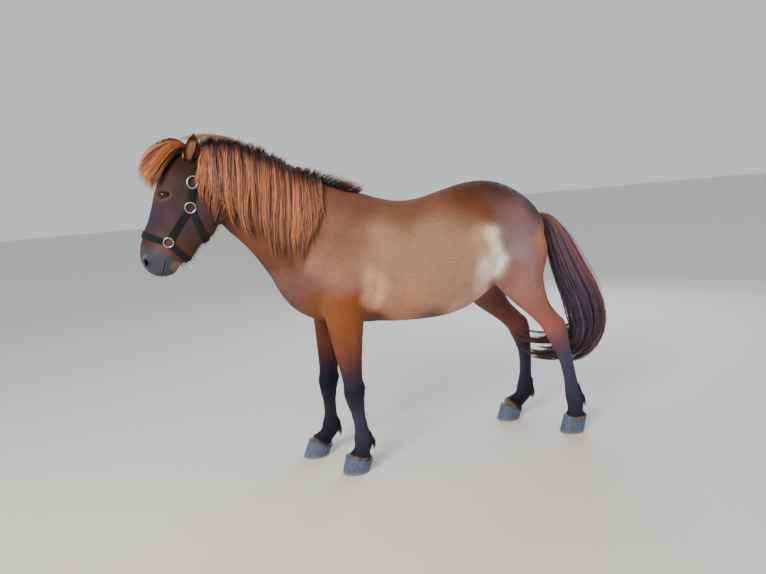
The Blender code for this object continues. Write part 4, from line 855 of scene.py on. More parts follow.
# Place down the leg and colour there. The legs are black below; the blue of the lower tones is a
# painted sky reflection, and the mauve and pink red of the hind leg down to the hock are partly a
# painted sky reflection and a painted highlight.
LEG_TONES = {
    "fore": ((0.7, "#86481F"), (1.1, "#854A28"), (1.4, "#73402E"), (1.7, "#3E2B30"), (1.95, "#191B30"),
             (2.5, "#36334A"), (3.2, "#262636"), (3.88, "#1B1B25"), (3.97, "#8C7A6C")),
    "hind": ((0.7, "#976D64"), (1.1, "#9B6C60"), (1.5, "#956050"), (1.85, "#99594F"), (2.05, "#70474E"),
             (2.3, "#443E55"), (2.7, "#34374F"), (3.2, "#292B3E"), (3.88, "#1B1C26"), (3.97, "#8C7A6C")),
}
EAR_INSIDE, EAR_RIM = linear("#94693F"), linear("#1E1514")
EYE_RING, LASH_LINE = linear("#6B4A33"), linear("#120C0D")


def place_colour(points):
    """The mean of the places' colours, each weighed by exp(-(distance / reach)^2), in linear light.

    On neck and trunk the points are first moved by waves of 14 mm, so that no patch has an even edge.
    """
    wander = 0.014 * smoothstep(-0.45, -0.25, points[:, 0])
    waves = np.column_stack((np.sin(31 * points[:, 2] + 7 * points[:, 0]), np.zeros(len(points)),
                             np.sin(27 * points[:, 0] - 11 * points[:, 2])))
    points = points + wander[:, None] * waves
    places = np.array([row[:3] for row in COAT_PLACES])
    colours = np.array([linear(row[3]) for row in COAT_PLACES])
    gap = np.hypot(points[:, :1] - places[:, 0], points[:, 2:] - places[:, 1]) / places[:, 2]
    weight = np.exp(-gap ** 2) + 1e-4 / (1 + gap ** 4)
    return weight @ colours / weight.sum(axis=1, keepdims=True)


def leg_colour(points):
    """Each point's leg colour times its share, and the share: 1 on a limb, 0 off it. The inner side of each leg
    is darkened as painted shade.
    """
    which, place, forward, outward = leg_charts(points)
    mixed = np.zeros((len(points), 4))
    for index, name in enumerate(LEGS):
        table = LEG_TONES[name[:4]]
        shares = [row[0] for row in table]
        tones = np.array([linear(row[1]) for row in table])
        leg = np.stack([np.interp(place, shares, tones[:, k]) for k in range(3)], axis=1)
        # Below the elbow and the stifle, the inner side of each leg is darkened by up to 55% as painted shade.
        leg = leg * (1 - 0.55 * smoothstep(0.012, -0.030, outward) * smoothstep(0.9, 1.3, place))[:, None]
        blend = ((which == index) * on_limb(name, place, forward, points[:, 2], 0.60, 1.15))[:, None]
        mixed += np.hstack((leg, np.ones((len(points), 1)))) * blend
    return mixed


def evened(obj, values, rounds):
    """Values at an object's points, each set to the mean of itself and its neighbours, many times."""
    edges = np.empty(len(obj.data.edges) * 2, np.int32)
    obj.data.edges.foreach_get("vertices", edges)
    a, b = edges.reshape(-1, 2).T
    ends, others = np.concatenate((a, b)), np.concatenate((b, a))
    count = 1 + np.bincount(ends, minlength=len(values))[:, None]
    for _ in range(rounds):
        sums = [np.bincount(ends, column[others], len(values)) for column in values.T]
        values = (values + np.stack(sums, axis=1)) / count
    return values


def blended(colour, other, share):
    """Two colours mixed by a share for each point."""
    return colour * (1 - share[:, None]) + other * share[:, None]


def mark_head(points, normals, colour):
    """Rings round the eyes, nostrils painted near black as painted shade with a painted highlight on their rims,
    lash lines, and the two faces of an ear.
    """
    for side in (-1, 1):
        u, v, w = ((points - EYE_MIDDLE * (1, -side, 1)) @ eye_frame(side).T).T
        front = w > -0.004
        ring = np.hypot(u / 0.030, (v - 0.001) / 0.019)
        glow = np.exp(-((ring - 1.15) / 0.30) ** 2) * front * (0.45 + 0.55 * smoothstep(-0.02, 0.02, u))
        colour = blended(colour, EYE_RING, 0.60 * glow)
        high, low = lid_edges(u)
        edge = np.minimum(high - v, v - low)
        dark = smoothstep(-0.0045, -0.0010, edge) * front * (np.abs(u) < EYE_HALF + 0.006)
        colour = blended(colour, LASH_LINE, 0.9 * dark)
        face = unit(np.array(EAR_OPENING) * (1, -side, 1))
        ear = smoothstep(1.565, 1.590, points[:, 2]) * (points[:, 1] * side > 0.018)
        ear = ear * (points[:, 0] < -0.565) * (points[:, 0] > -0.66)
        line = spline(np.array(EAR_LINE) * (1, -side, 1), 7)
        middle = np.stack([np.interp(points[:, 2], line[:, 2], line[:, k]) for k in range(3)], axis=1)
        inward = ((middle + face * 0.010 - points) * normals).sum(axis=1)
        inside = smoothstep(0.0, 0.006, inward) * ear
        ahead = ((points - middle) * face).sum(axis=1)
        rim = ear * np.maximum(smoothstep(0.003, 0.009, ahead), smoothstep(1.640, 1.664, points[:, 2]))
        colour = blended(colour, EAR_INSIDE, inside)
        colour = blended(colour, EAR_RIM, 0.95 * rim)
    gap_x, gap_z = points[:, 0] - NOSTRIL[0], points[:, 2] - NOSTRIL[1]
    hole = np.hypot(gap_x / 0.010, gap_z / 0.017)
    # The nostril's opening is painted near black: painted shade in its hollow over dark skin.
    colour = blended(colour, linear("#151216"), smoothstep(1.1, 0.6, hole) * (np.abs(points[:, 1]) > 0.02))
    # A pale grey crescent on the front of the nostril's rim is a painted highlight.
    pale = np.exp(-((hole - 1.75) / 0.35) ** 2) * (gap_x < 0.004)
    return blended(colour, linear("#77747E"), 0.5 * pale * (np.abs(points[:, 1]) > 0.02))


# %% [markdown]
# ## Which way the coat lies
# Hair on a horse grows from head to tail and from back to belly, and down the legs. The lie is a way
# at each place, smoothly mixed, and then laid flat on the skin.

# %% The lie of the coat
# x, z, reach, then the way the hair points, x, y outward and z
LIES = (
    (-0.84, 1.30, 0.10, (-0.30, 0.0, -0.95)), (-0.77, 1.48, 0.08, (-0.45, 0.3, -0.85)),
    (-0.64, 1.36, 0.09, (0.25, 0.0, -0.95)), (-0.86, 1.12, 0.06, (-0.10, 0.2, -0.95)),
    (-0.60, 1.58, 0.06, (0.30, 0.5, -0.60)), (-0.40, 1.35, 0.16, (0.35, 0.1, -0.92)),
    (-0.20, 1.10, 0.16, (0.30, 0.0, -0.95)), (0.10, 1.20, 0.16, (0.70, 0.1, -0.70)),
    (0.45, 1.20, 0.20, (0.90, 0.2, -0.45)), (0.45, 0.80, 0.18, (0.95, 0.0, -0.20)),
    (0.68, 1.02, 0.07, (0.30, 0.0, 0.80)), (0.80, 1.25, 0.14, (0.85, 0.2, -0.55)),
    (0.95, 1.05, 0.14, (0.35, 0.1, -0.93)), (0.05, 0.85, 0.12, (0.20, 0.0, -0.98)),
)


def coat_lie(points, normals):
    """The way of the hair at each point: a weighted mean of the table's ways, then down each leg."""
    places = np.array([row[:3] for row in LIES])
    ways = np.array([row[3] for row in LIES])
    gap = np.hypot(points[:, :1] - places[:, 0], points[:, 2:] - places[:, 1]) / places[:, 2]
    weight = np.exp(-gap ** 2) + 1e-4 / (1 + gap ** 4)
    lie = weight @ ways / weight.sum(axis=1, keepdims=True)
    lie[:, 1] *= np.sign(points[:, 1])
    which, place, forward, outward = leg_charts(points)
    for index, name in enumerate(LEGS):
        line, _ = leg_line(name, np.linspace(0, 4.4, 89))
        down = unit(np.gradient(line, axis=0))[np.clip(place * 20, 0, 88).astype(int)]
        blend = ((which == index) * on_limb(name, place, forward, points[:, 2], 0.5, 1.2))[:, None]
        lie = lie * (1 - blend) + down * blend
    ear = smoothstep(1.575, 1.60, points[:, 2]) * (np.abs(points[:, 1]) > 0.03) * (points[:, 0] < -0.565)
    lie = lie * (1 - ear[:, None]) + np.array((0.1, 0.0, 1.0)) * ear[:, None]
    return unit(lie - normals * (lie * normals).sum(axis=1, keepdims=True))


# %% Where a point lies on the unwrapped skin
def unwrap(points):
    """Places on the skin rolled out flat: the body lengthwise and round, and a strip for each leg."""
    spine = np.interp(points[:, 0], (-0.90, -0.75, -0.60, -0.30, 0.0, 0.5, 1.08),
                      (1.15, 1.33, 1.44, 1.30, 1.10, 1.03, 1.12))
    round_share = np.arctan2(points[:, 1], points[:, 2] - spine) / (2 * np.pi) + 0.5
    flat = np.column_stack(((points[:, 0] + 0.93) / 2.04, 0.34 + 0.64 * round_share))
    which, place, forward, outward = leg_charts(points)
    on_leg = (which >= 0) & (place > 0.9)
    turn = np.arctan2(outward, forward) / (2 * np.pi) + 0.5
    down = np.clip(place - 0.9, 0, 3.5) / 3.5
    strip = np.column_stack((0.01 + which * 0.25 + turn * 0.235, 0.01 + 0.31 * down))
    return np.where(on_leg[:, None], strip, flat)


def lay_patches(obj, spots, steps):
    """Gives each strand a patch on the OFBake map, 0.003 across, at its root's spot.

    Down a patch runs the strand's length and across it the three sides, so no face has zero width.
    """
    count = len(spots)
    ring, side = np.meshgrid(np.arange(steps - 2), np.arange(3), indexing="ij")
    ring, side = ring.ravel()[:, None], side.ravel()[:, None]
    across = (side + np.array([0, 1, 1, 0])) / 3
    down = (ring + np.array([0, 0, 1, 1])) / (steps - 1)
    quads = np.stack((across, down), axis=-1).reshape(-1, 2)
    cap = np.array([[0.0, -0.12], [0.5, -0.02], [1.0, -0.12]])
    last = (steps - 2) / (steps - 1)
    tips = np.array([[[k / 3, last], [(k + 1) / 3, last], [(k + 0.5) / 3, 1.0]] for k in range(3)])
    caps = np.concatenate((cap[None], tips)).reshape(-1, 2)
    patch = 0.003
    spots = np.clip(spots, 0.002, 0.995)[:, None]
    flat = np.concatenate([(spots + part[None] * patch).reshape(-1, 2) for part in (quads, caps)])
    layer = obj.data.uv_layers.new(name="OFBake")
    layer.data.foreach_set("uv", flat.astype(np.float32).ravel())


# %% [markdown]
# ## The coat
# A summer coat lies so flat that most of it is colour and fine relief. What breaks the outline are
# small wisps where a few dozen hairs cling together. They are scattered over the skin by area, more
# closely on head and legs, shorter there, and each follows the lie with a little disorder.

# %% Scatter wisps over the skin
random = np.random.default_rng(3)


def skin_triangles(obj, tints):
    """Corners of the skin's triangles, their ways out, their tints, and their areas."""
    obj.data.calc_loop_triangles()
    index = np.empty(len(obj.data.loop_triangles) * 3, np.int32)
    obj.data.loop_triangles.foreach_get("vertices", index)
    index = index.reshape(-1, 3)
    corners = points_of(obj)[index]
    normals = normals_of(obj)[index]
    area = np.linalg.norm(np.cross(corners[:, 1] - corners[:, 0], corners[:, 2] - corners[:, 0]), axis=1) / 2
    return corners, normals, tints[index], area


def scatter(corners, normals, tints, weight, count):
    """Random spots on triangles, chosen by weight, with the way out of the skin and its tint there."""
    pick = np.searchsorted(np.cumsum(weight) / weight.sum(), random.uniform(0, 1, count))
    pick = np.minimum(pick, len(weight) - 1)
    a, b = np.sqrt(random.uniform(0, 1, count)), random.uniform(0, 1, count)
    share = np.column_stack((1 - a, a * (1 - b), a * b))[..., None]
    tint = (tints[pick] * share).sum(axis=1)
    return (corners[pick] * share).sum(axis=1), unit((normals[pick] * share).sum(axis=1)), tint


def head_share(points):
    """0 on the body, 1 on the head."""
    return smoothstep(-0.03, 0.03, before_poll(points))


def bare_skin(points):
    """True where no tuft grows: on eyelids, in the nostrils, on lips, in the ears and in the hooves."""
    bare = np.zeros(len(points), bool)
    for side in (-1, 1):
        u, v, w = ((points - EYE_MIDDLE * (1, -side, 1)) @ eye_frame(side).T).T
        bare |= (np.hypot(u / 0.026, v / 0.016) < 1) & (w > 0)
    near = np.hypot((points[:, 0] - NOSTRIL[0]) / 0.014, (points[:, 2] - NOSTRIL[1]) / 0.022) < 1
    across, run = line_distance(points, MOUTH)
    lips = (np.abs(across) < 0.004) & (run > -0.004) & (points[:, 2] < 1.15)
    ears = (points[:, 2] > 1.575) & (np.abs(points[:, 1]) > 0.03)
    ears &= (points[:, 0] > -0.66) & (points[:, 0] < -0.565)
    return bare | near | lips | ears | (points[:, 2] < 0.075)


def coat_tufts(name, corners, normals, tints, weight, count):
    """Wisps of coat: a short strand from just under the skin, rising a little along the lie."""
    root, out, tint = scatter(corners, normals, tints, weight, count)
    lie = coat_lie(root, out)
    aside = np.cross(out, lie)
    swirl = 0.20 * np.sin(root[:, 0] * 31 + root[:, 2] * 17) + random.normal(0, 0.16, count)
    lie = unit(lie + aside * swirl[:, None])
    face = head_share(root)
    which, place, _, _ = leg_charts(root)
    foot = (which >= 0) * smoothstep(1.0, 2.2, place)
    small = np.maximum(face * 0.55, foot * 0.45)
    muzzle = smoothstep(1.22, 1.12, root[:, 2]) * face
    length = 0.020 * (1 - 1.1 * small) * (1 - 0.5 * muzzle) * random.uniform(0.7, 1.25, count)
    half = 0.00120 * (1 - 0.9 * small) * random.uniform(0.7, 1.3, count)
    rise = length * random.uniform(0.008, 0.034, count)
    share = np.array((0.0, 0.45, 1.0))
    paths = root[:, None] + lie[:, None] * (length[:, None] * share)[..., None]
    paths = paths + out[:, None] * (rise[:, None] * np.array((-0.35, 0.5, 1.0)))[..., None]
    widths = half[:, None] * np.array((0.7, 1.0, 0.0))
    across = np.broadcast_to(np.cross(out, lie)[:, None], paths.shape)
    points, faces, size = strands(paths, across, widths, 0.3)
    obj = mesh_object(name, points, faces)
    obj.data.shade_flat()
    tone = tint * np.exp(random.normal(0, 0.12, count))[:, None]
    # Each wisp is darker at its root as painted shade and lighter at its tip as painted light.
    steps = np.repeat((0.92, 1.02, 1.12), (3, 3, 1))
    store_colour(obj, "Tint", (tone[:, None] * steps[None, :, None]).reshape(-1, 3))
    lay_patches(obj, unwrap(root), 3)
    return obj


skin_points, skin_normals = points_of(skin), normals_of(skin)
on_legs = leg_colour(skin_points)
high = smoothstep(1.7, 1.2, leg_charts(skin_points)[1])[:, None]
on_legs = on_legs * (1 - high) + evened(skin, on_legs, 24) * high
tint = place_colour(skin_points) * (1 - on_legs[:, 3:]) + on_legs[:, :3]
tint = mark_head(skin_points, skin_normals, tint)
store_colour(skin, "Tint", tint)
corners, corner_normals, corner_tints, area = skin_triangles(skin, tint)
middles = corners.mean(axis=1)
which, place, _, _ = leg_charts(middles)
on_head = head_share(middles) > 0.5
on_leg = (which >= 0) & (place > 0.9)
weight = area * np.where(bare_skin(middles), 0, 1)
PARTS = (                     # name, which triangles, how many wisps
    ("coat_barrel", ~on_head & ~on_leg & (middles[:, 0] > 0.20), 19500),
    ("coat_front", ~on_head & ~on_leg & (middles[:, 0] <= 0.20), 19500),
    ("coat_head", on_head, 16000),
    ("coat_legs", on_leg, 16000),
)
coat_pieces = [coat_tufts(name, corners[here], corner_normals[here], corner_tints[here], weight[here], count)
               for name, here, count in PARTS]
print("coat:", sum(triangles_in(obj) for obj in coat_pieces), "triangles")

# %% Distance to the skin
GRID = 0.012                  # spacing of the grid of distances
GRID_LOW = np.array((-0.95, 0.0, 0.98))
GRID_SIZE = (100, 18, 64)


def distance_grid(obj):
    """Distances from the skin, minus inside it, on a grid over one side of the head and neck."""
    tree = BVHTree.FromObject(obj, bpy.context.evaluated_depsgraph_get())
    cells = np.stack(np.meshgrid(*[np.arange(n) for n in GRID_SIZE], indexing="ij"), axis=-1)
    spots = (cells * GRID + GRID_LOW).reshape(-1, 3)
    found = [tree.find_nearest(Vector(spot)) for spot in spots]
    hits = np.array([hit[0] for hit in found])
    outs = np.array([hit[1] for hit in found])
    off = spots - hits
    sign = np.where((off * outs).sum(axis=1) < 0, -1, 1)
    return (np.linalg.norm(off, axis=1) * sign).reshape(GRID_SIZE)


def read_distance(points):
    """Distance to the skin and the way out of it, read between the grid's cells."""
    flat = points.reshape(-1, 3).copy()
    side = np.where(flat[:, 1] < 0, -1.0, 1.0)
    flat[:, 1] = np.abs(flat[:, 1])
    place = np.clip((flat - GRID_LOW) / GRID, 0, np.array(GRID_SIZE) - 1.001)
    low = place.astype(int)
    part = place - low
    value, slope = np.zeros(len(flat)), np.zeros((len(flat), 3))
    for corner in np.ndindex(2, 2, 2):
        picks = np.where(corner, part, 1 - part)
        signs = np.where(corner, 1.0, -1.0)
        reading = distances[tuple((low + corner).T)]
        value += reading * picks.prod(axis=1)
        others = np.roll(picks, -1, axis=1) * np.roll(picks, -2, axis=1)
        slope += reading[:, None] * signs * others
    slope[:, 1] *= side
    return value.reshape(points.shape[:-1]), unit(slope).reshape(points.shape)


def lay_on_skin(points, height, pull):
    """Moves points to a height over the skin; pull is the share of the way, for those too high."""
    for _ in range(3):
        value, out = read_distance(points)
        gap = height - value
        points = points + out * (np.where(gap > 0, gap, gap * pull))[..., None]
    return points


distances = distance_grid(skin)
print("distance grid:", distances.shape, "nearest", round(float(distances.min()), 3))

# %% [markdown]
# ## Mane
# The mane grows from the crest in layers. Its hairs rise a little, turn over the crest and hang
# against the neck, most of them on the left. Hairs start evenly spaced and are gathered towards the
# tip of the lock they belong to, and each lock has its own length and wave.

# %% Mane
# Root x and z, top of the hair, left tips x and z, right tips z, depth of the hair
MANE = (
    (-0.585, 1.622, 1.688, -0.598, 1.440, 1.500, 0.022),
    (-0.530, 1.634, 1.697, -0.540, 1.340, 1.440, 0.028),
    (-0.470, 1.632, 1.683, -0.490, 1.255, 1.400, 0.032),
    (-0.400, 1.615, 1.668, -0.424, 1.195, 1.370, 0.034),
    (-0.320, 1.578, 1.634, -0.345, 1.155, 1.340, 0.036),
    (-0.240, 1.535, 1.584, -0.262, 1.108, 1.320, 0.036),
    (-0.170, 1.497, 1.530, -0.190, 1.075, 1.310, 0.034),
    (-0.110, 1.465, 1.522, -0.120, 1.135, 1.310, 0.032),
    (-0.050, 1.436, 1.488, -0.066, 1.245, 1.320, 0.028),
    (0.010, 1.410, 1.452, -0.005, 1.320, 1.325, 0.022),
    (0.070, 1.383, 1.428, 0.070, 1.325, 1.330, 0.016),
    (0.130, 1.368, 1.408, 0.138, 1.322, 1.325, 0.012),
)
random = np.random.default_rng(11)
# Kinds of lock: share of them, then how much more red, green and blue than the mean
LOCK_KINDS = (
    (0.20, 0.22, 0.22, 0.34),     # dark plum
    (0.26, 0.62, 0.55, 0.62),     # chestnut
    (0.32, 1.34, 1.03, 0.74),     # copper
    (0.22, 1.75, 1.62, 1.42),     # flaxen
)


def gather(count, locks, low, high):
    """Strands' places along a root line, their locks, and the locks' middles."""
    place = np.sort(random.uniform(low, high, count))
    middles = np.sort(random.uniform(low, high, locks))
    near = place[:, None] + random.normal(0, 0.25 / locks, (count, 1)) - middles[None]
    return place, np.abs(near).argmin(axis=1), middles


def mane_paths(count, locks, side, tips, steps):
    """Paths of the mane on one side, its depth in the hair, and each strand's lock."""
    place, lock, middles = gather(count, locks, 0.0, 0.735)
    layer = random.uniform(0, 1, count) ** 0.8
    own = at_share(np.array(MANE), place)
    shared = at_share(np.array(MANE), np.clip(middles[lock] + random.normal(0, 0.004, count), 0, 1))
    length = random.uniform(0.72, 1.03, locks)[lock] * random.uniform(0.82, 1.03, count)
    length *= 1 - 0.65 * smoothstep(0.62, 0.735, place) * random.uniform(0, 1, count)
    root = np.column_stack((own[:, 0], side * random.uniform(-0.004, 0.010, count), own[:, 1] - 0.004))
    top = own[:, 1] + 0.004 + (own[:, 2] - own[:, 1] - 0.012) * layer * 0.30
    over = np.column_stack((own[:, 0] - 0.004, side * (0.012 + 0.010 * layer), top))
    tip_x = shared[:, 3] + random.normal(0, 0.004, count)
    drop = (own[:, 2] - shared[:, tips]) * length
    wave = random.normal(0, 0.0045, (locks, 4))[lock] + random.normal(0, 0.0022, (count, 4))
    controls = [root, over]
    for index, share in enumerate((0.15, 0.40, 0.70, 1.0)):
        x = own[:, 0] * (1 - share) + tip_x * share + wave[:, index] * (0.3 + 0.9 * share)
        y = np.full(count, side * (0.03 + 0.10 * share))
        controls.append(np.column_stack((x, y, top - drop * share)))
    paths = curve_through(np.stack(controls, axis=1), steps)
    share = np.linspace(0, 1, steps)[None]
    depth = own[:, 6:7] * layer[:, None]
    height = 0.004 + depth * (1 - 0.55 * share) + random.uniform(0, 0.003, (count, 1))
    laid = lay_on_skin(paths, height, 1.0)
    hang = smoothstep(0.12, 0.34, share)[..., None]
    paths = paths * (1 - hang) + laid * hang
    return lay_on_skin(paths, np.minimum(height, 0.003 + 0.05 * share), 0.0), layer, lock, place


def taper(count, steps, root, middle, start=0.35):
    """Half widths: from root to middle by the share start, and to nothing at the tip."""
    share = np.linspace(0, 1, steps)[None]
    size = random.uniform(0.75, 1.3, (count, 1))
    return size * (root + (middle - root) * smoothstep(0, start, share)) * (1 - share ** 3) ** 0.7


def hair_object(name, paths, across, widths, tone, spots):
    """An object of closed strands with a colour at each point and a patch for each strand."""
    points, faces, size = strands(paths, across, widths, 0.7)
    obj = mesh_object(name, points, faces)
    ring_tone = np.repeat(tone[:, :-1], 3, axis=1)
    store_colour(obj, "Tint", np.concatenate((ring_tone, tone[:, -1:]), axis=1).reshape(-1, 3))
    lay_patches(obj, spots, paths.shape[1])
    return obj


def flat_on_skin(paths):
    """The way across each strand that lies flat on the skin."""
    return np.cross(read_distance(paths)[1], unit(np.gradient(paths, axis=1)))


def hair_tone(count, steps, table, lock, kinds, spread):
    """Colours from a table of share and hex, times those of the lock's kind, varied by strand."""
    shares = np.array([row[0] for row in table])
    colours = np.array([linear(row[1]) for row in table])
    share = np.linspace(0, 1, steps)[None] + random.normal(0, 0.05, (count, 1))
    tone = np.stack([np.interp(share, shares, colours[:, k]) for k in range(3)], axis=-1)
    kinds = np.array(kinds)
    kind = random.choice(len(kinds), lock.max() + 1, p=kinds[:, 0] / kinds[:, 0].sum())[lock]
    stray = random.uniform(0, 1, count) < 0.22
    kind = np.where(stray, random.integers(0, len(kinds), count), kind)
    tint = 1 + (kinds[kind, 1:] - 1)[:, None] * smoothstep(0.05, 0.35, share)[..., None]
    return tone * tint * np.exp(random.normal(0, spread, count))[:, None, None]


MANE_TONES = ((0.0, "#160E0C"), (0.24, "#1C1310"), (0.31, "#38201A"), (0.40, "#865034"), (0.65, "#A06845"),
              (1.0, "#B07A54"))
hair_pieces = {}
for name, count, locks, side, tips in (("mane_left", 2900, 140, -1, 4), ("mane_right", 1500, 70, 1, 5)):
    paths, layer, lock, place = mane_paths(count, locks, side, tips, 12)
    # Strands deeper in the hair, nearer the neck, are darkened down to half as painted shade.
    tone = hair_tone(count, 12, MANE_TONES, lock, LOCK_KINDS, 0.13) * (0.5 + 0.5 * layer)[:, None, None]
    edge = 0.31 + 0.20 * place + random.normal(0, 0.02, locks)[lock] + random.normal(0, 0.02, count)
    old = smoothstep(edge[:, None] - 0.04, edge[:, None] + 0.07, np.linspace(0, 1, 12)[None])
    tone = tone * (0.16 + 0.84 * old)[..., None]
    hair_pieces[name] = hair_object(name, paths, flat_on_skin(paths), taper(count, 12, 0.0010, 0.0016), tone,
                                    np.column_stack((place, layer)))

# %% [markdown]
# Along the crest the youngest hairs stand up. They are short, dark at the root and faded at the tip,
# and at the withers, where the long mane ends, they are the whole of it. A few long ones at the poll
# are blown forward over the ear.

# %% Upright hair of the crest
CREST_TONES = ((0.0, "#140D0C"), (0.50, "#1E1311"), (0.72, "#5A3420"), (1.0, "#B8804F"))


def crest_paths(count, locks, steps):
    """Paths that stand on the crest, lean with their lock and droop at the tip."""
    place, lock, middles = gather(count, locks, 0.0, 1.0)
    own = at_share(np.array(MANE), place)
    lean = random.normal(0, 0.22, (locks, 2))[lock] + random.normal(0, 0.20, (count, 2))
    behind = smoothstep(0.62, 0.80, place) * 0.95 + 0.10
    way = unit(np.column_stack((behind + 0.5 * lean[:, 0], lean[:, 1] - 0.15, np.ones(count))))
    height = (own[:, 2] - own[:, 1]) * np.where(place > 0.64, 1.15, 1.08)
    length = height * random.uniform(0.55, 1.08, count) / np.clip(way[:, 2], 0.5, 1)
    length = np.where(place > 0.9, length * (1 - 4.5 * (place - 0.9)), length)
    root = np.column_stack((own[:, 0] + random.normal(0, 0.003, count), random.normal(0, 0.0100, count),
                            own[:, 1] - 0.004))
    share = np.linspace(0, 1, steps)[None, :, None]
    droop = np.column_stack((0.35 * behind + 0.05, way[:, 1] * 0.9, np.full(count, -0.22)))
    rise = way[:, None] * share + droop[:, None] * share ** 2.2
    return root[:, None] + length[:, None, None] * rise, lock, place


def wisp_paths(count, steps):
    """Paths from the poll that rise and are blown forward."""
    place = random.uniform(0.0, 0.26, count)
    own = at_share(np.array(MANE), place)
    across = random.normal(-0.004, 0.010, count)
    reach = random.uniform(0.5, 1.1, count)
    root = np.column_stack((own[:, 0], across, own[:, 1] - 0.004))
    steps_out = ((0.0, 0.0), (-0.004, 0.034), (-0.034, 0.056), (-0.075, 0.058), (-0.110, 0.046))
    controls = [root + np.column_stack((x * reach, across * 0.5 * index, z * (0.75 + 0.25 * reach)))
                for index, (x, z) in enumerate(steps_out)]
    return curve_through(np.stack(controls, axis=1), steps), np.zeros(count, int)


paths, lock, place = crest_paths(2600, 140, 7)
tone = hair_tone(2600, 7, CREST_TONES, lock, ((1, 1, 1, 1),), 0.2)
hair_pieces["mane_crest"] = hair_object("mane_crest", paths, flat_on_skin(paths),
                                        taper(2600, 7, 0.0011, 0.0009), tone,
                                        np.column_stack((place, random.uniform(0, 1, 2600))))
paths, lock = wisp_paths(200, 9)
tone = hair_tone(200, 9, ((0.0, "#3A241A"), (0.4, "#9A6A45"), (1.0, "#BE9570")), lock, ((1, 1, 1, 1),), 0.15)
hair_pieces["mane_wisp"] = hair_object("mane_wisp", paths, flat_on_skin(paths),
                                       taper(200, 9, 0.0006, 0.0007), tone,
                                       random.uniform(0, 1, (200, 2)))

# %% [markdown]
# ## Forelock
# The forelock springs from between the ears and falls forward over the brow as a fan, blown a little
# clear of it. A strand's path lies between the line of the topmost hair and that of the lowest.

# %% Forelock
FORELOCK_TOP = ((-0.612, 1.606), (-0.640, 1.650), (-0.690, 1.678), (-0.752, 1.669), (-0.812, 1.638),
                (-0.852, 1.592), (-0.872, 1.545), (-0.876, 1.500))
FORELOCK_LOW = ((-0.616, 1.606), (-0.655, 1.632), (-0.700, 1.608), (-0.740, 1.570), (-0.774, 1.524),
                (-0.798, 1.478), (-0.812, 1.440), (-0.820, 1.405))
FORELOCK_TONES = ((0.0, "#241512"), (0.14, "#4E2C1D"), (0.38, "#8C4E24"), (0.8, "#AC6A36"), (1.0, "#C8966A"))


def forelock_paths(count, locks, steps):
    """Paths from the poll over the brow, each strand's level, and its lock."""
    lock = random.integers(0, locks, count)
    level = np.clip(random.uniform(0, 1, locks)[lock] + random.normal(0, 0.07, count), 0, 1)
    aside = np.clip(random.uniform(-1, 1, locks)[lock] + random.normal(0, 0.09, count), -1, 1)
    length = random.uniform(0.66, 1.0, locks)[lock] * random.uniform(0.80, 1.0, count)
    length *= 1 - 0.16 * aside ** 2
    share = np.linspace(0, 1, steps)[None] * length[:, None]
    high = at_share(spline(FORELOCK_TOP, 8), share)
    low = at_share(spline(FORELOCK_LOW, 8), share)
    flat = low + (high - low) * (level * (1 - 0.30 * aside ** 2))[:, None, None]
    width = 0.016 + 0.200 * share * (1 - 0.62 * share)
    phase = random.uniform(0, 2 * np.pi, locks)[lock][:, None]
    sway = 0.005 * np.sin(share * 7 + phase) * share
    y = width * aside[:, None] + sway + random.normal(0, 0.002, (count, 1))
    drop = 0.040 * np.abs(aside)[:, None] ** 1.5 * smoothstep(0.08, 0.62, share)
    z = flat[..., 1] - drop + 0.004 * np.cos(share * 9 + phase)
    paths = lay_on_skin(np.stack((flat[..., 0], y, z), axis=-1), 0.004 + 0.01 * level[:, None], 0.0)
    return paths, level, aside, lock


paths, level, aside, lock = forelock_paths(1600, 60, 12)
tone = hair_tone(1600, 12, FORELOCK_TONES, lock, LOCK_KINDS[1:] + ((0.16, 0.35, 0.34, 0.42),), 0.14)
# The strands of the lowest levels, nearest the brow, are darkened towards their roots as painted shade under the
# forelock.
low = 1 - smoothstep(0.05, 0.50, level)
tone = tone * (1 - 0.72 * low[:, None, None] * np.linspace(1, 0, 12)[None, :, None] ** 0.7)
hair_pieces["forelock_hair"] = hair_object("forelock_hair", paths, flat_on_skin(paths),
                                           taper(1600, 12, 0.0010, 0.0014), tone,
                                           np.column_stack((level, aside * 0.5 + 0.5)))

# %% [markdown]
# ## Tail
# The tail hangs from the dock as a full brush, then swings forward at its foot. Its strands keep their
# own distance from the line of its spine, and are gathered into locks below.

# %% Tail
# Spine x and z, half thickness, half width
TAIL = (
    (1.050, 1.190, 0.030, 0.030), (1.100, 1.166, 0.036, 0.036), (1.150, 1.138, 0.042, 0.042),
    (1.192, 1.057, 0.070, 0.052), (1.240, 0.941, 0.090, 0.060), (1.291, 0.821, 0.107, 0.066),
    (1.342, 0.708, 0.118, 0.070), (1.370, 0.600, 0.122, 0.072), (1.364, 0.505, 0.113, 0.070),
    (1.325, 0.430, 0.096, 0.064), (1.250, 0.390, 0.076, 0.056), (1.160, 0.395, 0.056, 0.048),
)
# The mauve and blue of these tones are partly a painted sky reflection on dark hair.
TAIL_TONES = ((0.0, "#9A6D51"), (0.07, "#704D40"), (0.16, "#5B4A4E"), (0.45, "#554A58"), (0.75, "#3B3A48"),
              (1.0, "#543C36"))
TAIL_KINDS = ((0.34, 0.34, 0.36, 0.50), (0.36, 1.10, 1.05, 1.20), (0.30, 2.2, 1.75, 1.70))


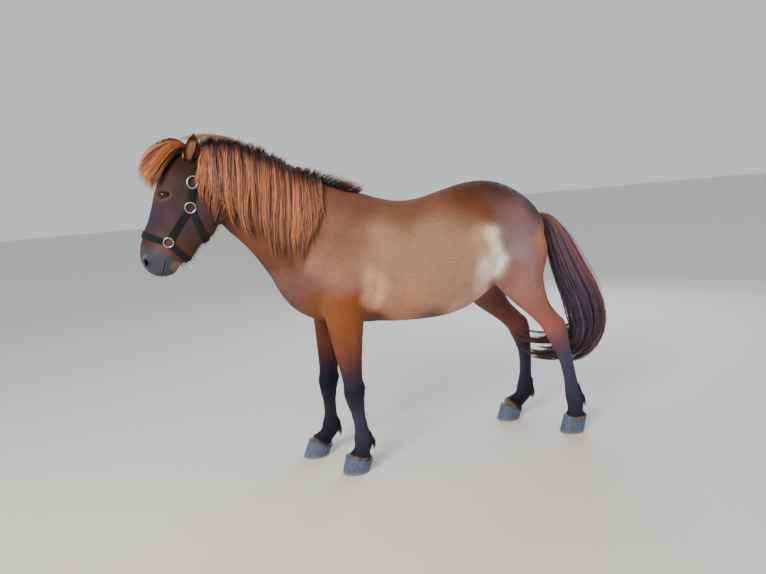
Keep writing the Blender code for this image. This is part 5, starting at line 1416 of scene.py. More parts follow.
def tail_paths(count, locks, steps, loose):
    """Paths along the spine, how far out of it each strand runs, and each strand's lock."""
    lock = random.integers(0, locks, count)
    turn = random.uniform(0, 2 * np.pi, locks)[lock] + random.normal(0, 0.13, count)
    out = np.sqrt(random.uniform(0.02, 1, locks))[lock] * random.uniform(0.86, 1.02, count) * loose
    start = random.uniform(0.0, 0.20, count)
    end = np.clip(random.uniform(0.62, 1.0, locks)[lock] + random.normal(0, 0.03, count), 0, 1)
    run = np.linspace(0, 1, steps)[None]
    share = start[:, None] + (end - start)[:, None] * run
    fine = spline(TAIL, 8)
    rows = at_share(fine, share)
    way = unit(at_share(unit(np.gradient(fine[:, :2], axis=0)), share))
    normal = np.stack((way[..., 1] * -1, way[..., 0]), axis=-1)
    closing = smoothstep(0.72, 1.0, run) * random.uniform(0, 0.55, locks)[lock][:, None]
    spread = (0.35 + 0.65 * smoothstep(0, 0.25, run)) * (1 - closing)
    phase = random.uniform(0, 2 * np.pi, (2, locks))[:, lock][..., None]
    along = np.cos(turn)[:, None] * out[:, None] * rows[..., 2] * spread
    aside = np.sin(turn)[:, None] * out[:, None] * rows[..., 3] * spread
    along = along + 0.007 * np.sin(share * 15 + phase[0]) * run
    aside = aside + 0.006 * np.sin(share * 12 + phase[1]) * run
    flat = rows[..., :2] + normal * along[..., None]
    paths = np.stack((flat[..., 0], aside, flat[..., 1]), axis=-1)
    return paths, out, turn, lock


def tail_object(name, count, locks, steps, loose, middle):
    """Strands of the tail: lighter outside and darker within as painted shade, and red brown outside at the
    back, partly as a painted warm rim light.
    """
    paths, out, turn, lock = tail_paths(count, locks, steps, loose)
    way = unit(np.gradient(paths, axis=1))
    outward = unit(paths - paths.mean(axis=0, keepdims=True) + 1e-4)
    tone = hair_tone(count, steps, TAIL_TONES, lock, TAIL_KINDS, 0.12)
    # The outer strands at the back are made red brown, partly as a painted warm rim light.
    red = smoothstep(0.60, 1.0, out) * smoothstep(-0.1, 0.9, np.cos(turn))
    tone = tone * (1 + red[:, None, None] * np.array((1.10, 0.00, -0.50)))
    # Strands within the tail are darkened as painted shade.
    tone = tone * (0.60 + 0.40 * smoothstep(0.3, 0.9, out))[:, None, None]
    return hair_object(name, paths, np.cross(outward, way), taper(count, steps, 0.0012, middle), tone,
                       np.column_stack((turn / (2 * np.pi) % 1, np.clip(out, 0, 1))))


hair_pieces["tail_strands"] = tail_object("tail_strands", 2200, 110, 15, 1.0, 0.0020)
hair_pieces["tail_loose"] = tail_object("tail_loose", 240, 60, 15, 1.07, 0.0011)


# %% Wisps at the foot of the tail
def sweep_paths(count, locks, steps):
    """Paths from low in the tail forward between the hocks, where the wind has laid them."""
    lock = random.integers(0, locks, count)
    level = random.uniform(0, 1, locks)[lock] + random.normal(0, 0.035, count)
    reach = random.uniform(0.45, 1.0, locks)[lock] * random.uniform(0.85, 1.0, count)
    # x and z of the lowest and the highest sweep, and y
    knots = ((1.345, 0.480, 1.350, 0.640, 0.000), (1.270, 0.395, 1.270, 0.560, 0.006),
             (1.180, 0.360, 1.170, 0.535, 0.022), (1.090, 0.370, 1.080, 0.525, 0.045),
             (1.020, 0.395, 1.000, 0.545, 0.070), (0.965, 0.425, 0.950, 0.570, 0.082))
    controls = [np.column_stack((a * (1 - level) + c * level + random.normal(0, 0.003, count),
                                 y + random.normal(0, 0.012, locks)[lock] + random.normal(0, 0.003, count),
                                 b * (1 - level) + d * level + random.normal(0, 0.006, locks)[lock]))
                for a, b, c, d, y in knots]
    fine = curve_through(np.stack(controls, axis=1), 40)
    share = np.linspace(0, 1, steps)[None] * reach[:, None]
    low = np.minimum((share * 39).astype(int), 38)
    part = (share * 39 - low)[..., None]
    row = np.arange(count)[:, None]
    return fine[row, low] * (1 - part) + fine[row, low + 1] * part, lock


paths, lock = sweep_paths(330, 26, 13)
tone = hair_tone(330, 13, ((0.0, "#30292F"), (0.5, "#3C2A2B"), (1.0, "#5A3528")), lock, ((1, 1, 1, 1),), 0.2)
upright = np.broadcast_to(np.array((0.0, 1.0, 0.0)), paths.shape)
across = np.cross(upright, unit(np.gradient(paths, axis=1)))
hair_pieces["tail_wisps"] = hair_object("tail_wisps", paths, across, taper(330, 13, 0.0012, 0.0014), tone,
                                        random.uniform(0, 1, (330, 2)))
print("hair:", sum(triangles_in(obj) for obj in hair_pieces.values()), "triangles")
# %% [markdown]
# ## Feathers, lashes and whiskers
# Where the coat grows longer it breaks the outline: feathers behind the fetlocks, a fringe over the
# top of each hoof, lashes, tan hairs in the ears, whiskers on lips and chin. All are the same strands,
# from roots set on the skin, so one function bends them all: each leaves along its own way and is
# drawn towards a second way, by the square of the share of its length.

# %% Long hairs of the coat
def bent(roots, ways, pulls, lengths, steps):
    """Paths root + length * (way * s + pull * s^2), s from 0 to 1."""
    share = np.linspace(0, 1, steps)[None, :, None]
    return roots[:, None] + lengths[:, None, None] * (ways[:, None] * share + pulls[:, None] * share ** 2)


def fringe(name, roots, ways, pulls, lengths, half, tones):
    """A piece of bent strands with its colour from root to tip and its patches on the map."""
    count, steps = len(roots), 5
    paths = bent(roots, unit(ways), pulls, lengths, steps)
    tone = hair_tone(count, steps, tones, np.zeros(count, int), ((1, 1, 1, 1),), 0.18)
    helper = np.where(np.abs(ways[:, :1]) > 0.9, (0.0, 0.0, 1.0), (1.0, 0.0, 0.0))
    across = np.broadcast_to(unit(np.cross(unit(ways), helper))[:, None], paths.shape)
    widths = taper(count, steps, half, half)
    return hair_object(name, paths, across, widths, tone, unwrap(roots))


def leg_roots(name, places, degrees):
    """Roots on the skin of a leg at places down it and degrees round it, with the way out there."""
    side = -1 if "left" in name else 1
    line, forward = leg_line(name, places)
    turn = np.radians(degrees)[:, None]
    away = forward * np.cos(turn) + np.array((0.0, side, 0.0)) * np.sin(turn)
    spots = [skin_tree.find_nearest(Vector(spot))[0] for spot in line + away * 0.055]
    return np.array(spots) - away * 0.001, away


skin_tree = BVHTree.FromObject(skin, bpy.context.evaluated_depsgraph_get())
random = np.random.default_rng(17)
FEATHER_TONES = ((0.0, "#1B1B24"), (0.6, "#201D24"), (1.0, "#4A352C"))
CORONET_TONES = ((0.0, "#1A1A22"), (1.0, "#2A272E"))
DOWN = np.array((0.0, 0.0, -1.0))
for name in LEGS:
    turn = random.normal(180, 30, 400)
    roots, away = leg_roots(name, random.uniform(2.76, 3.16, 400), turn)
    long = random.uniform(0.018, 0.038, 400) * np.exp(-((turn - 180) / 48) ** 2)
    ways = away * 0.9 + DOWN * 0.7 + random.normal(0, 0.14, (400, 3))
    feather = fringe("feather_" + name, roots, ways, DOWN * 0.75 - away * 0.55, long, 0.0013, FEATHER_TONES)
    turn = random.uniform(0, 360, 340)
    roots, away = leg_roots(name, random.uniform(3.68, 3.90, 340), turn)
    ways = away * 0.55 + DOWN + random.normal(0, 0.10, (340, 3))
    cuff = fringe("coronet_" + name, roots, ways, away * 0.10 + DOWN * 0.25,
                  random.uniform(0.008, 0.017, 340), 0.0011, CORONET_TONES)
    hair_pieces[feather.name], hair_pieces[cuff.name] = feather, cuff

# %% Lashes, ear hairs and whiskers
LASHES, EAR_HAIRS, WHISKERS, BEARD = 40, 110, 70, 420
for side, word in zip((-1, 1), ("left", "right")):
    middle, (back, up, out) = EYE_MIDDLE * (1, -side, 1), eye_frame(side)
    u = random.uniform(-0.85, 0.85, LASHES) * EYE_HALF
    v = lid_edges(u)[0] + 0.0006
    w = np.sqrt((EYE_RADIUS + LID) ** 2 - u ** 2 - v ** 2) - 0.0008
    roots = middle + np.column_stack((u, v, w)) @ np.array((back, up, out))
    ways = out * 0.95 - up * 0.35 + back * (u / EYE_HALF * 0.5)[:, None]
    ways = ways + random.normal(0, 0.08, (LASHES, 3))
    lash = fringe("lashes_" + word, roots, ways, np.broadcast_to(up * 0.45, ways.shape),
                  random.uniform(0.009, 0.014, LASHES), 0.00032, ((0.0, "#120D0D"), (1.0, "#1E1614")))
    line = spline(np.array(EAR_LINE) * (1, -side, 1), 7)
    face = unit(np.array(EAR_OPENING) * (1, -side, 1))
    at = random.uniform(0.18, 0.72, EAR_HAIRS)
    turn = random.choice((-1, 1), EAR_HAIRS) * random.uniform(0.5, 1.0, EAR_HAIRS)
    aside = unit(np.cross(face, (0.0, 0.0, 1.0)))
    roots = at_share(line, at) + aside * (0.013 * turn)[:, None] + face * 0.004
    ways = face * 0.35 + np.array((0.02, 0.0, 1.0)) - aside * (0.55 * turn)[:, None]
    ways = ways + random.normal(0, 0.12, (EAR_HAIRS, 3))
    inner = fringe("ear_hair_" + word, roots, ways, face * 0.15 + aside * (0.25 * turn)[:, None],
                   random.uniform(0.014, 0.036, EAR_HAIRS), 0.00055,
                   ((0.0, "#5A4028"), (0.5, "#A87E50"), (1.0, "#C9A37A")))
    hair_pieces[lash.name], hair_pieces[inner.name] = lash, inner

spots = np.column_stack((random.uniform(-0.895, -0.745, WHISKERS), random.choice((-1, 1), WHISKERS) * 0.05,
                         random.uniform(1.055, 1.150, WHISKERS)))
roots = lay_on_skin(spots, np.full(WHISKERS, -0.001), 1.0)
ways = read_distance(roots)[1] + np.array((-0.25, 0.0, -0.45)) + random.normal(0, 0.25, (WHISKERS, 3))
hair_pieces["whiskers"] = fringe("whiskers", roots, ways, np.broadcast_to(DOWN * 0.2, ways.shape),
                                 random.uniform(0.016, 0.036, WHISKERS), 0.00028,
                                 ((0.0, "#2A2428"), (1.0, "#6A5C54")))
along = random.uniform(0, 1, BEARD)
jaw = at_share(np.array(HEAD)[2:10, 2:4], along)
spots = np.column_stack((jaw[:, 0], random.normal(0, 0.018, BEARD), jaw[:, 1]))
roots = lay_on_skin(spots, np.full(BEARD, -0.001), 1.0)
ways = read_distance(roots)[1] * 0.5 + np.array((0.25, 0.0, -0.75)) + random.normal(0, 0.10, (BEARD, 3))
hair_pieces["jaw_hair"] = fringe("jaw_hair", roots, ways, np.broadcast_to(DOWN * 0.2, ways.shape),
                                 random.uniform(0.010, 0.020, BEARD), 0.00055,
                                 ((0.0, "#3A2A26"), (1.0, "#4E362C")))
print("long hairs:", sum(triangles_in(obj) for obj in hair_pieces.values()), "triangles with mane and tail")


# %% [markdown]
# ## Eyes
# Each eye is a ball behind the lids. Its grid runs out from the middle of the cornea, so that its own
# UV map gives distances from there, and the shader draws the dark iris and the wide, flat pupil of a
# grazing animal from them.

# %% Eyeballs
def eyeball(name, side):
    """A ball of rings round the way it looks, r = EYE_RADIUS, with a cornea 1.2 mm prouder."""
    rings, count = 40, 72
    tilt = np.linspace(0.004, np.pi - 0.02, rings)[:, None]
    turn = np.linspace(0, 2 * np.pi, count, endpoint=False)[None]
    proud = EYE_RADIUS + 0.0012 * np.exp(-(tilt / 0.55) ** 4)
    local = np.stack((proud * np.sin(tilt) * np.cos(turn), proud * np.sin(tilt) * np.sin(turn),
                      proud * np.cos(tilt) * np.ones_like(turn)), axis=-1)
    cuts = EYE_MIDDLE * (1, -side, 1) + local @ eye_frame(side)
    obj = mesh_object(name, *tube(cuts))
    face_out(obj)
    corners = np.empty(len(obj.data.loops), np.int32)
    obj.data.loops.foreach_get("vertex_index", corners)
    spread = local.reshape(-1, 3)[:, :2] / (2 * EYE_RADIUS) + 0.5
    obj.data.uv_layers.new(name="Gaze").data.foreach_set("uv", spread[corners].astype(np.float32).ravel())
    return obj


eyes = {side: eyeball("eyeball_" + side, SIDES[side]) for side in SIDES}

# %% [markdown]
# ## Hooves
# A hoof is a slanted cone of horn, round in front and open at the heels. Its wall grows a few
# millimetres a month, which leaves rings, and at its top a soft band joins it to the skin. Near the
# ground its horn is paler, where it is worn.

# %% Hooves
# Toe and heel on the ground, y, half width, then the coronet's front and back, x and z
HOOVES = {
    "hoof_fore_left": (-0.094, 0.046, -0.135, 0.060, (-0.070, 0.088), (0.072, 0.054)),
    "hoof_fore_right": (-0.264, -0.122, 0.135, 0.060, (-0.226, 0.088), (-0.094, 0.054)),
    "hoof_hind_left": (1.106, 1.238, -0.138, 0.056, (1.134, 0.096), (1.258, 0.062)),
    "hoof_hind_right": (0.872, 1.008, 0.162, 0.056, (0.902, 0.092), (1.030, 0.058)),
}


def hoof(name):
    """A hoof from rings: up the wall from the sole, over the coronet and in; and the hollow sole.

    Round a ring by an angle a the outline is x = cos a, y = sin a times a heel that narrows, with a
    notch of exp(-(b / 0.30)^2) between the bulbs, b the angle from straight behind.
    """
    toe, heel, y, half, front, back = HOOVES[name]
    count = 96
    angle = np.linspace(0, 2 * np.pi, count, endpoint=False)
    behind = np.abs((angle % (2 * np.pi)) - np.pi)
    notch = np.exp(-(behind / 0.30) ** 2)
    around = np.cos(angle)
    outline_x = np.where(around > 0, around, around * (0.96 - 0.16 * notch))
    outline_y = np.sign(np.sin(angle)) * np.abs(np.sin(angle)) ** 0.88 * (1 - 0.10 * (around < 0) * around ** 2)
    # rows: height share, size, sink below the height
    rows = [(0.0, 0.05, 0.006), (0.0, 0.30, 0.0055), (0.0, 0.60, 0.0045), (0.0, 0.86, 0.002), (0.0, 0.97, 0.0)]
    rows += [(0.012, 0.995, 0.0)] + [(share, 1.0, 0.0) for share in np.linspace(0.03, 0.90, 42)]
    rows += [(0.92, 0.995, 0.0), (0.94, 1.012, 0.0), (0.965, 1.020, 0.0), (0.99, 1.010, 0.0), (1.01, 0.97, 0.0),
             (1.02, 0.85, 0.0), (1.02, 0.50, 0.0)]
    cuts = []
    for share, size, sole in rows:
        fore = toe + (front[0] - toe) * share
        rear = heel + (back[0] - heel) * share
        wall = 1 + 0.0045 * np.sin(share * 46 + 3 * share ** 2) * (0.03 < share < 0.92)
        reach = (rear - fore) / 2 * size * wall
        width = half * (1 - 0.19 * share) * size * wall
        x = (fore + rear) / 2 - outline_x * reach
        level = np.clip((x - fore) / (rear - fore), 0, 1)
        z = (front[1] * (1 - level) + back[1] * level) * share + sole
        cuts.append(np.column_stack((x, y + outline_y * width, z)))
    obj = mesh_object(name.replace("hoof", "horn"), *tube(np.array(cuts)))
    face_out(obj)
    return obj


hooves = {name: hoof(name) for name in HOOVES}

# %% [markdown]
# ## Head collar
# The collar is flat woven webbing, 30 mm wide and 3 mm thick, joined by steel rings. A strap runs
# between two rings along the skin, or from ring to ring round the head.

# %% Paths of the straps
WEBBING_WIDTH = 0.030
WEBBING_THICKNESS = 0.0028
RING_WIRE = 0.0028
# x, z and the two radii of the rings of the left side, and the degrees they are turned
RINGS = {
    "ring_upper": (-0.629, 1.474, 0.0280, 0.0220, 70),
    "ring_cheek": (-0.651, 1.365, 0.0230, 0.0230, 0),
    "ring_nose": (-0.766, 1.218, 0.0215, 0.0215, 0),
}
SIDE_STRAPS = {"strap_cheek": ("ring_upper", "ring_cheek"), "strap_jaw": ("ring_cheek", "ring_nose")}
LOOP_STRAPS = {               # ring, and the point on the median that the strap goes round by
    "strap_crown": ("ring_upper", (-0.557, 1.640)),
    "strap_throat": ("ring_cheek", (-0.602, 1.200)),
    "strap_nose": ("ring_nose", (-0.880, 1.264)),
    "strap_chin": ("ring_nose", (-0.688, 1.112)),
}
OVER_SKIN = 0.0042            # from the skin to the inner face of the webbing, over the coat


def ring_place(name, side):
    """Middle of a ring that lies on the skin, and the way out of the skin there."""
    x, z = RINGS[name][:2]
    spot = lay_on_skin(np.array([[x, side * 0.07, z]]), np.array([0.0075]), 1.0)
    return spot[0], read_distance(spot)[1][0]


def ring_edge(name, side, toward):
    """The point of a ring's wire that looks toward another point."""
    middle, out = ring_place(name, side)
    x, z, along, across, turn = RINGS[name]
    turn = np.radians(turn)
    first = np.array((np.cos(turn), 0.0, np.sin(turn)))
    first = unit(first - out * (first @ out))
    second = np.cross(out, first)
    way = toward - middle
    a, b = way @ first, way @ second
    scale = 1 / np.hypot(a / along, b / across)
    return middle + (first * a + second * b) * scale


def side_path(start, stop, side, steps):
    """From ring to ring along the skin: a straight line laid on it."""
    one = ring_edge(start, side, ring_place(stop, side)[0])
    two = ring_edge(stop, side, ring_place(start, side)[0])
    share = np.linspace(0, 1, steps)[:, None]
    path = one * (1 - share) + two * share
    lift = 0.0015 * (1 - smoothstep(0, 0.12, share[:, 0])) + 0.0015 * smoothstep(0.88, 1, share[:, 0])
    return lay_on_skin(path, OVER_SKIN + WEBBING_THICKNESS / 2 + lift, 1.0)


def loop_path(ring, over, steps):
    """From the left ring round by a point on the median to the right ring.

    From the middle between the two rings the strap lies at a radius found by stepping: where the
    distance to the skin is too great the radius shrinks by the difference, and the other way round.
    """
    median = np.array((over[0], 0.0, over[1]))
    ends = [ring_edge(ring, side, ring_place(ring, side)[0] + 0.03 * unit(median - ring_place(ring, side)[0]))
            for side in (-1, 1)]
    middle = (ends[0] + ends[1]) / 2
    ahead = unit(median - middle)
    turn = np.linspace(-np.pi / 2, np.pi / 2, steps)[:, None]
    ways = ahead * np.cos(turn) + np.array((0.0, 1.0, 0.0)) * np.sin(turn)
    reach = np.hypot(np.linalg.norm(median - middle) * np.cos(turn), np.abs(ends[1][1]) * np.sin(turn))
    for _ in range(12):
        value, out = read_distance(middle + ways * reach)
        slope = np.clip((ways * out).sum(axis=1), 0.35, 1)
        reach[1:-1, 0] -= ((value - OVER_SKIN - WEBBING_THICKNESS / 2) / slope)[1:-1]
    return middle + ways * reach


def even_steps(path, spacing):
    """A path read again at even steps along its length."""
    run = np.concatenate(([0], np.cumsum(np.linalg.norm(np.diff(path, axis=0), axis=1))))
    places = np.linspace(0, run[-1], int(run[-1] / spacing) + 1)
    return np.stack([np.interp(places, run, path[:, k]) for k in range(3)], axis=1), places


# %% Bands and rings
def band(name, path, width=WEBBING_WIDTH, thickness=WEBBING_THICKNESS):
    """Webbing along a path: a flat cut with rounded edges, carried along on the skin."""
    path, run = even_steps(path, 0.0022)
    smooth = path.copy()
    for _ in range(6):
        smooth[1:-1] = (smooth[:-2] + smooth[2:]) / 2
    way = unit(np.gradient(smooth, axis=0))
    _, out = read_distance(smooth)
    out = unit(out - way * (out * way).sum(axis=1, keepdims=True))
    aside = np.cross(way, out)
    angle = np.linspace(0, 2 * np.pi, 32, endpoint=False)
    flat = np.sign(np.cos(angle)) * np.abs(np.cos(angle)) ** 0.35 * width / 2
    high = np.sign(np.sin(angle)) * np.abs(np.sin(angle)) ** 0.55 * thickness / 2
    cuts = smooth[:, None] + aside[:, None] * flat[None, :, None] + out[:, None] * high[None, :, None]
    lifted = lay_on_skin(cuts, OVER_SKIN + high[None] + thickness / 2 - 0.0012, 0.0)
    obj = mesh_object(name, *tube(lifted))
    face_out(obj)
    layout = np.stack(np.broadcast_arrays(run[:, None], (angle / (2 * np.pi) * 0.056)[None]), axis=-1)
    corners = np.empty(len(obj.data.loops), np.int32)
    obj.data.loops.foreach_get("vertex_index", corners)
    layer = obj.data.uv_layers.new(name="Weave")
    layer.data.foreach_set("uv", layout.reshape(-1, 2)[corners].astype(np.float32).ravel())
    return obj


def torus(name, middle, first, second, along, across, wire):
    """A ring of round wire: an ellipse in the plane of two ways, with a circle carried round it."""
    turn = np.linspace(0, 2 * np.pi, 73)[:-1, None, None]
    out = np.cross(first, second)
    ring = middle + first * along * np.cos(turn) + second * across * np.sin(turn)
    spoke = unit(first * np.cos(turn) / along + second * np.sin(turn) / across)
    angle = np.linspace(0, 2 * np.pi, 16, endpoint=False)[None, :, None]
    cuts = ring + wire * (spoke * np.cos(angle) + out * np.sin(angle))
    points, faces = tube(cuts)
    index = np.arange(cuts.shape[0] * 16).reshape(-1, 16)
    last, after = index[-1], np.roll(index[-1], -1)
    close = np.stack((last, after, np.roll(index[0], -1), index[0]), axis=-1)
    obj = mesh_object(name, points, [faces[0], close])
    face_out(obj)
    return obj


collar = {}
for side_name, side in SIDES.items():
    for name in RINGS:
        middle, out = ring_place(name, side)
        x, z, along, across, turn = RINGS[name]
        turn = np.radians(turn)
        first = np.array((np.cos(turn), 0.0, np.sin(turn)))
        first = unit(first - out * (first @ out))
        collar[f"{name}_{side_name}"] = torus(f"steel_{name}_{side_name}", middle, first,
                                              np.cross(out, first), along, across, RING_WIRE)
    for name, (start, stop) in SIDE_STRAPS.items():
        collar[f"{name}_{side_name}"] = band(f"web_{name}_{side_name}", side_path(start, stop, side, 60))
for name, (ring, over) in LOOP_STRAPS.items():
    collar[name] = band("web_" + name, loop_path(ring, over, 90))
chin = points_of(collar["strap_chin"])
low = chin[np.abs(chin[:, 1]) < 0.01]
hang = np.array((low[:, 0].mean(), 0.0, low[:, 2].min() - 0.010))
collar["ring_chin"] = torus("steel_ring_chin", hang, np.array((0.0, 0.0, 1.0)), np.array((1.0, 0.0, 0.0)),
                            0.0150, 0.0150, RING_WIRE)
print("collar:", len(collar), "pieces,", sum(triangles_in(obj) for obj in collar.values()), "triangles")

# %% [markdown]
# ## Materials
# Each finish is one shader fed by small patterns whose sizes come from the real thing in millimetres.

# %% Coat and long hair
# Short hair over skin, grown, not made: a soft sheen, no mirror. Its colour is the tint of each
# point, with clouds 12 cm across and flecks 2 mm across. Hairs are 0.1 mm thick, too fine to show, so
# the relief is drawn at 1.5 mm.
def fleck(tree, scale, detail, low, high):
    """A noise on Object coordinates, mapped to a grey between low and high."""
    place = add(tree, "ShaderNodeTexCoord")
    noise = add(tree, "ShaderNodeTexNoise", {"Vector": place.outputs["Object"], "Scale": scale,
                                             "Detail": detail})
    return add(tree, "ShaderNodeMapRange", {"Value": noise.outputs[0], "From Min": 0.3, "From Max": 0.7,
                                            "To Min": low, "To Max": high}).outputs[0]


def tinted(name, roughness, clouds, flecks, relief, **sockets):
    """A material that takes the points' tint, clouded and flecked, with a fine relief."""
    material, tree, shader = new_material(name, roughness, **sockets)
    tint = add(tree, "ShaderNodeVertexColor", layer_name="Tint").outputs["Color"]
    for scale, detail, spread in ((8.0, 3.0, clouds), (500.0, 2.0, flecks)):
        grey = fleck(tree, scale, detail, 1 - spread, 1 + spread)
        shade = add(tree, "ShaderNodeVectorMath", {0: tint, 1: grey}, operation="MULTIPLY")
        tint = shade.outputs[0]
    tree.links.new(tint, shader.inputs["Base Color"])
    height = fleck(tree, 650.0, 3.0, 0.0, 1.0)
    bump = add(tree, "ShaderNodeBump", {"Height": height, "Strength": 0.5, "Distance": relief})
    tree.links.new(bump.outputs[0], shader.inputs["Normal"])
    return material


coat = tinted("short summer coat", 0.62, 0.08, 0.08, 0.0006, Specular_IOR_Level=0.12, Sheen_Weight=0.04,
              Sheen_Roughness=0.45, Sheen_Tint=(0.80, 0.85, 1.0, 1.0))
# Mane and tail are coarse hair, smooth along its length, so it is glossier than the coat.
hair = tinted("coarse horse hair", 0.42, 0.05, 0.12, 0.0003, Specular_IOR_Level=0.45, Sheen_Weight=0.12,
              Sheen_Roughness=0.35, Sheen_Tint=(0.85, 0.88, 1.0, 1.0))

# %% Hoof horn
# Keratin, grown in fine tubes down the wall: grey, streaked lengthwise, waxy, dull where it is worn.
horn, tree, shader = new_material("grey hoof horn", 0.45, Specular_IOR_Level=0.45)
place = add(tree, "ShaderNodeTexCoord")
stretch = add(tree, "ShaderNodeMapping", {"Vector": place.outputs["Object"], "Scale": (420.0, 420.0, 14.0)})
streaks = add(tree, "ShaderNodeTexNoise", {"Vector": stretch.outputs[0], "Scale": 1.0, "Detail": 3.0})
ramp = add(tree, "ShaderNodeValToRGB", {"Fac": streaks.outputs[0]})
ramp.color_ramp.elements[0].position, ramp.color_ramp.elements[1].position = 0.30, 0.72
ramp.color_ramp.elements[0].color = (*linear("#2F384A"), 1)
ramp.color_ramp.elements[1].color = (*linear("#606F89"), 1)
height = add(tree, "ShaderNodeSeparateXYZ", {0: place.outputs["Object"]})
band = add(tree, "ShaderNodeMapRange", {"Value": height.outputs["Z"], "From Min": 0.016, "From Max": 0.0})
worn = add(tree, "ShaderNodeMix", {"Factor": band.outputs[0], 6: ramp.outputs["Color"],
                                   7: (*linear("#857C70"), 1)}, data_type="RGBA")
tree.links.new(worn.outputs[2], shader.inputs["Base Color"])
dull = add(tree, "ShaderNodeMapRange", {"Value": streaks.outputs[0], "To Min": 0.38, "To Max": 0.62})
tree.links.new(dull.outputs[0], shader.inputs["Roughness"])
bump = add(tree, "ShaderNodeBump", {"Height": streaks.outputs[0], "Strength": 0.35, "Distance": 0.0006})
tree.links.new(bump.outputs[0], shader.inputs["Normal"])

# %% Eye
# A wet, clear cornea over a brown iris. Both are drawn on one glossy surface, from the eye's own map:
# a flat pupil 20 by 9 mm, fibres round it, and the dark rim of the iris.
eye, tree, shader = new_material("wet cornea over a brown iris", 0.07, IOR=1.376, Coat_Weight=0.2,
                                 Coat_Roughness=0.03)
place = add(tree, "ShaderNodeUVMap", uv_map="Gaze")
centred = add(tree, "ShaderNodeMapping", {"Vector": place.outputs[0], "Location": (-1.0, -1.0, 0.0),
                                          "Scale": (2.0, 2.0, 0.0)})
reach = add(tree, "ShaderNodeVectorMath", {0: centred.outputs[0]}, operation="LENGTH")
wide = add(tree, "ShaderNodeVectorMath", {0: centred.outputs[0], 1: (1 / 0.42, 1 / 0.19, 0.0)},
           operation="MULTIPLY")
pupil = add(tree, "ShaderNodeVectorMath", {0: wide.outputs[0]}, operation="LENGTH")
fibres = add(tree, "ShaderNodeTexNoise", {"Vector": centred.outputs[0], "Scale": 26.0, "Detail": 4.0})
iris = add(tree, "ShaderNodeValToRGB", {"Fac": fibres.outputs[0]})
iris.color_ramp.elements[0].position, iris.color_ramp.elements[1].position = 0.35, 0.70
iris.color_ramp.elements[0].color = (*linear("#22130D"), 1)
iris.color_ramp.elements[1].color = (*linear("#4E2D1A"), 1)
edge = add(tree, "ShaderNodeMapRange", {"Value": reach.outputs["Value"], "From Min": 0.62, "From Max": 0.74})
outer = add(tree, "ShaderNodeMix", {"Factor": edge.outputs[0], 6: iris.outputs["Color"],
                                    7: (*linear("#2A1F1D"), 1)}, data_type="RGBA")
hole = add(tree, "ShaderNodeMapRange", {"Value": pupil.outputs["Value"], "From Min": 1.08, "From Max": 0.92})
look = add(tree, "ShaderNodeMix", {"Factor": hole.outputs[0], 6: outer.outputs[2],
                                   7: (*linear("#0A0A10"), 1)}, data_type="RGBA")
tree.links.new(look.outputs[2], shader.inputs["Base Color"])

# %% Webbing
# Nylon yarn woven flat: matt, with ribs 1.6 mm apart across the strap and 1.1 mm along it, and a seam
# of stitches 3 mm long near its start. The strap's map gives metres from its start, and round its cut
# from one edge.
webbing, tree, shader = new_material("black nylon webbing", 0.75, Specular_IOR_Level=0.25, Sheen_Weight=0.06,
                                     Sheen_Roughness=0.4, Sheen_Tint=(0.7, 0.75, 1.0, 1.0))
place = add(tree, "ShaderNodeUVMap", uv_map="Weave")
apart = add(tree, "ShaderNodeSeparateXYZ", {0: place.outputs[0]})
ribs = [add(tree, "ShaderNodeMath", {0: add(tree, "ShaderNodeMath", {0: apart.outputs[axis], 1: 2 * np.pi / gap},
            operation="MULTIPLY").outputs[0]}, operation="SINE") for axis, gap in (("X", 0.0016), ("Y", 0.0022))]
weave = add(tree, "ShaderNodeMath", {0: ribs[0].outputs[0], 1: ribs[1].outputs[0]}, operation="MULTIPLY")
fuzz = add(tree, "ShaderNodeTexNoise", {"Vector": place.outputs[0], "Scale": 900.0, "Detail": 2.0})
height = add(tree, "ShaderNodeMath", {0: weave.outputs[0], 1: fuzz.outputs[0]}, operation="ADD")
shade = add(tree, "ShaderNodeMapRange", {"Value": height.outputs[0], "From Min": -0.5, "From Max": 1.6})
tone = add(tree, "ShaderNodeMix", {"Factor": shade.outputs[0], 6: (*linear("#07090F"), 1),
                                   7: (*linear("#151823"), 1)}, data_type="RGBA")
beside = add(tree, "ShaderNodeMath", {0: apart.outputs["Y"]}, operation="ABSOLUTE")
across_edge = add(tree, "ShaderNodeMath", {0: beside.outputs[0], 1: 0.0095, 2: 0.0006}, operation="COMPARE")
dash = add(tree, "ShaderNodeMath", {0: apart.outputs["X"], 1: 0.004}, operation="MODULO")
dashed = add(tree, "ShaderNodeMath", {0: dash.outputs[0], 1: 0.003}, operation="LESS_THAN")
ends = add(tree, "ShaderNodeMath", {0: apart.outputs["X"], 1: 0.030}, operation="LESS_THAN")
seam = add(tree, "ShaderNodeMath", {0: across_edge.outputs[0], 1: dashed.outputs[0]}, operation="MULTIPLY")
seam = add(tree, "ShaderNodeMath", {0: seam.outputs[0], 1: ends.outputs[0]}, operation="MULTIPLY")
sewn = add(tree, "ShaderNodeMix", {"Factor": seam.outputs[0], 6: tone.outputs[2],
                                   7: (*linear("#2C303C"), 1)}, data_type="RGBA")
tree.links.new(sewn.outputs[2], shader.inputs["Base Color"])
raised = add(tree, "ShaderNodeMath", {0: height.outputs[0], 1: seam.outputs[0]}, operation="ADD")
bump = add(tree, "ShaderNodeBump", {"Height": raised.outputs[0], "Strength": 0.6, "Distance": 0.0004})
tree.links.new(bump.outputs[0], shader.inputs["Normal"])

# %% Steel
# Rings bent from wire and nickel plated: bright, with hairline scratches from the straps.
steel, tree, shader = new_material("nickel plated steel", 0.2, Metallic=1.0)
shader.inputs["Base Color"].default_value = (*linear("#C6C8CA"), 1)
scratches = fleck(tree, 300.0, 5.0, 0.14, 0.34)
tree.links.new(scratches, shader.inputs["Roughness"])

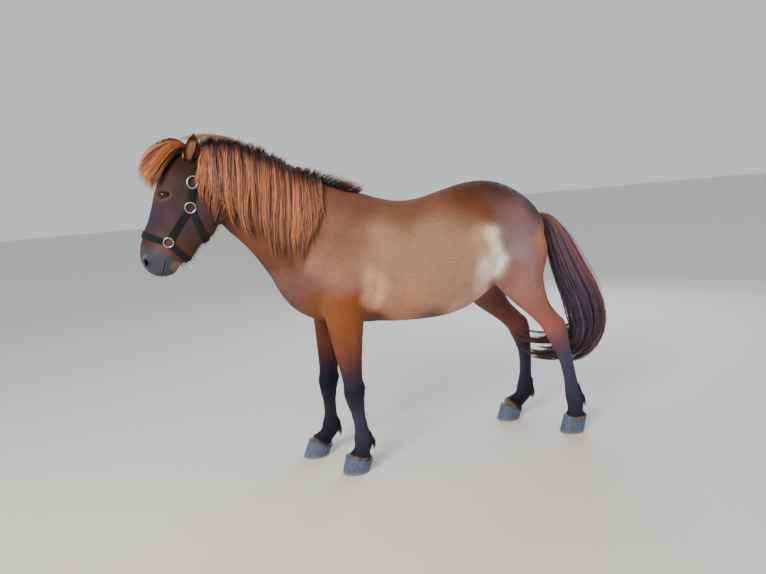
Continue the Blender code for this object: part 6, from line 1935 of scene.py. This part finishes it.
# %% [markdown]
# ## Into the frame
# Each piece is moved by the step, given its material and put on the root. The flesh of the frame is
# replaced by the one skin, and every other solid by the piece that stands for it.

# %% Finish the pieces
FLESH = ["torso", "neck", "head", "ear_left", "ear_right"] + ["leg_" + name for name in LEGS]
finish_piece(skin, coat, "coat_body", *FLESH)
for side, obj in eyes.items():
    finish_piece(obj, eye, "eye", "eye_" + side)
for name, obj in hooves.items():
    finish_piece(obj, horn, "horn", name)
for name, obj in collar.items():
    metal = name.startswith("ring")
    finish_piece(obj, steel if metal else webbing, "ring_metal" if metal else "webbing", name)
for name, obj in hair_pieces.items():
    node = {"mane_left": ["mane"], "forelock_hair": ["forelock"], "tail_strands": ["tail"]}.get(name, [])
    slot = {"mane": "mane_hair", "fore": "forelock_hair", "tail": "tail_hair", "feat": "coat_leg",
            "coro": "coat_leg", "ear_": "ear_skin"}.get(name[:4], "coat_head")
    finish_piece(obj, hair, slot, *node)
for obj, slot in zip(coat_pieces, ("coat_body", "coat_neck", "coat_head", "coat_leg")):
    finish_piece(obj, coat, slot, smooth=False)

# %% [markdown]
# ## Floor, light and camera
# A plain pale floor, a large soft light from the upper left front, a weaker one behind on the right,
# and an even pale sky. The camera stands where the photo was taken from, at a standing person's chest.

# %% Stage
floor_material, tree, shader = new_material("pale matt floor", 0.9)
shader.inputs["Base Color"].default_value = (*linear("#D9D6D0"), 1)
square = np.array(((-60, -60, 0), (60, -60, 0), (60, 60, 0), (-60, 60, 0)), float)
floor = mesh_object("floor", square, [np.array([[0, 1, 2, 3]])])
floor.data.materials.append(floor_material)

world = bpy.data.worlds.new("studio")
world.use_nodes = True
world.node_tree.nodes["Background"].inputs["Color"].default_value = (*linear("#E6EAF0"), 1)
world.node_tree.nodes["Background"].inputs["Strength"].default_value = 0.85
bpy.context.scene.world = world


def look_at(obj, spot, target):
    """Puts an object at a spot, turned to look at a target."""
    obj.location = spot
    obj.rotation_euler = (Vector(target) - Vector(spot)).to_track_quat("-Z", "Y").to_euler()
    bpy.context.scene.collection.objects.link(obj)


def soft_light(name, spot, target, size, watts, colour):
    """A square area light."""
    light = bpy.data.lights.new(name, "AREA")
    light.size = size
    light.energy = watts
    light.color = linear(colour)
    look_at(bpy.data.objects.new(name, light), spot, target)


soft_light("key", (-3.2, -3.4, 3.6), (0.0, 0.0, 0.8), 2.2, 330, "#FFF2E2")
soft_light("rim", (2.8, 3.2, 3.0), (0.0, 0.0, 0.9), 2.4, 130, "#DCE8FF")

# %% Camera
LENS = 27.02                  # millimetres on a 36 mm wide sensor
PITCH, ROLL, YAW = np.radians((9.1, 4.9, 12.4))
camera_data = bpy.data.cameras.new("camera")
camera_data.lens = LENS
camera = bpy.data.objects.new("camera", camera_data)
ahead = np.array((np.sin(YAW) * np.cos(PITCH), np.cos(YAW) * np.cos(PITCH), -np.sin(PITCH)))
level = np.array((np.cos(YAW), -np.sin(YAW), 0.0))
above = np.cross(level, ahead)
right = np.cos(ROLL) * level - np.sin(ROLL) * above
up = np.sin(ROLL) * level + np.cos(ROLL) * above
pose = np.eye(4)
pose[:3, :3] = np.column_stack((right, up, -ahead))
pose[:3, 3] = np.array((-0.40, -2.82, 1.35)) + STEP
bpy.context.scene.collection.objects.link(camera)
camera.matrix_world = Matrix(pose.tolist())
bpy.context.scene.camera = camera
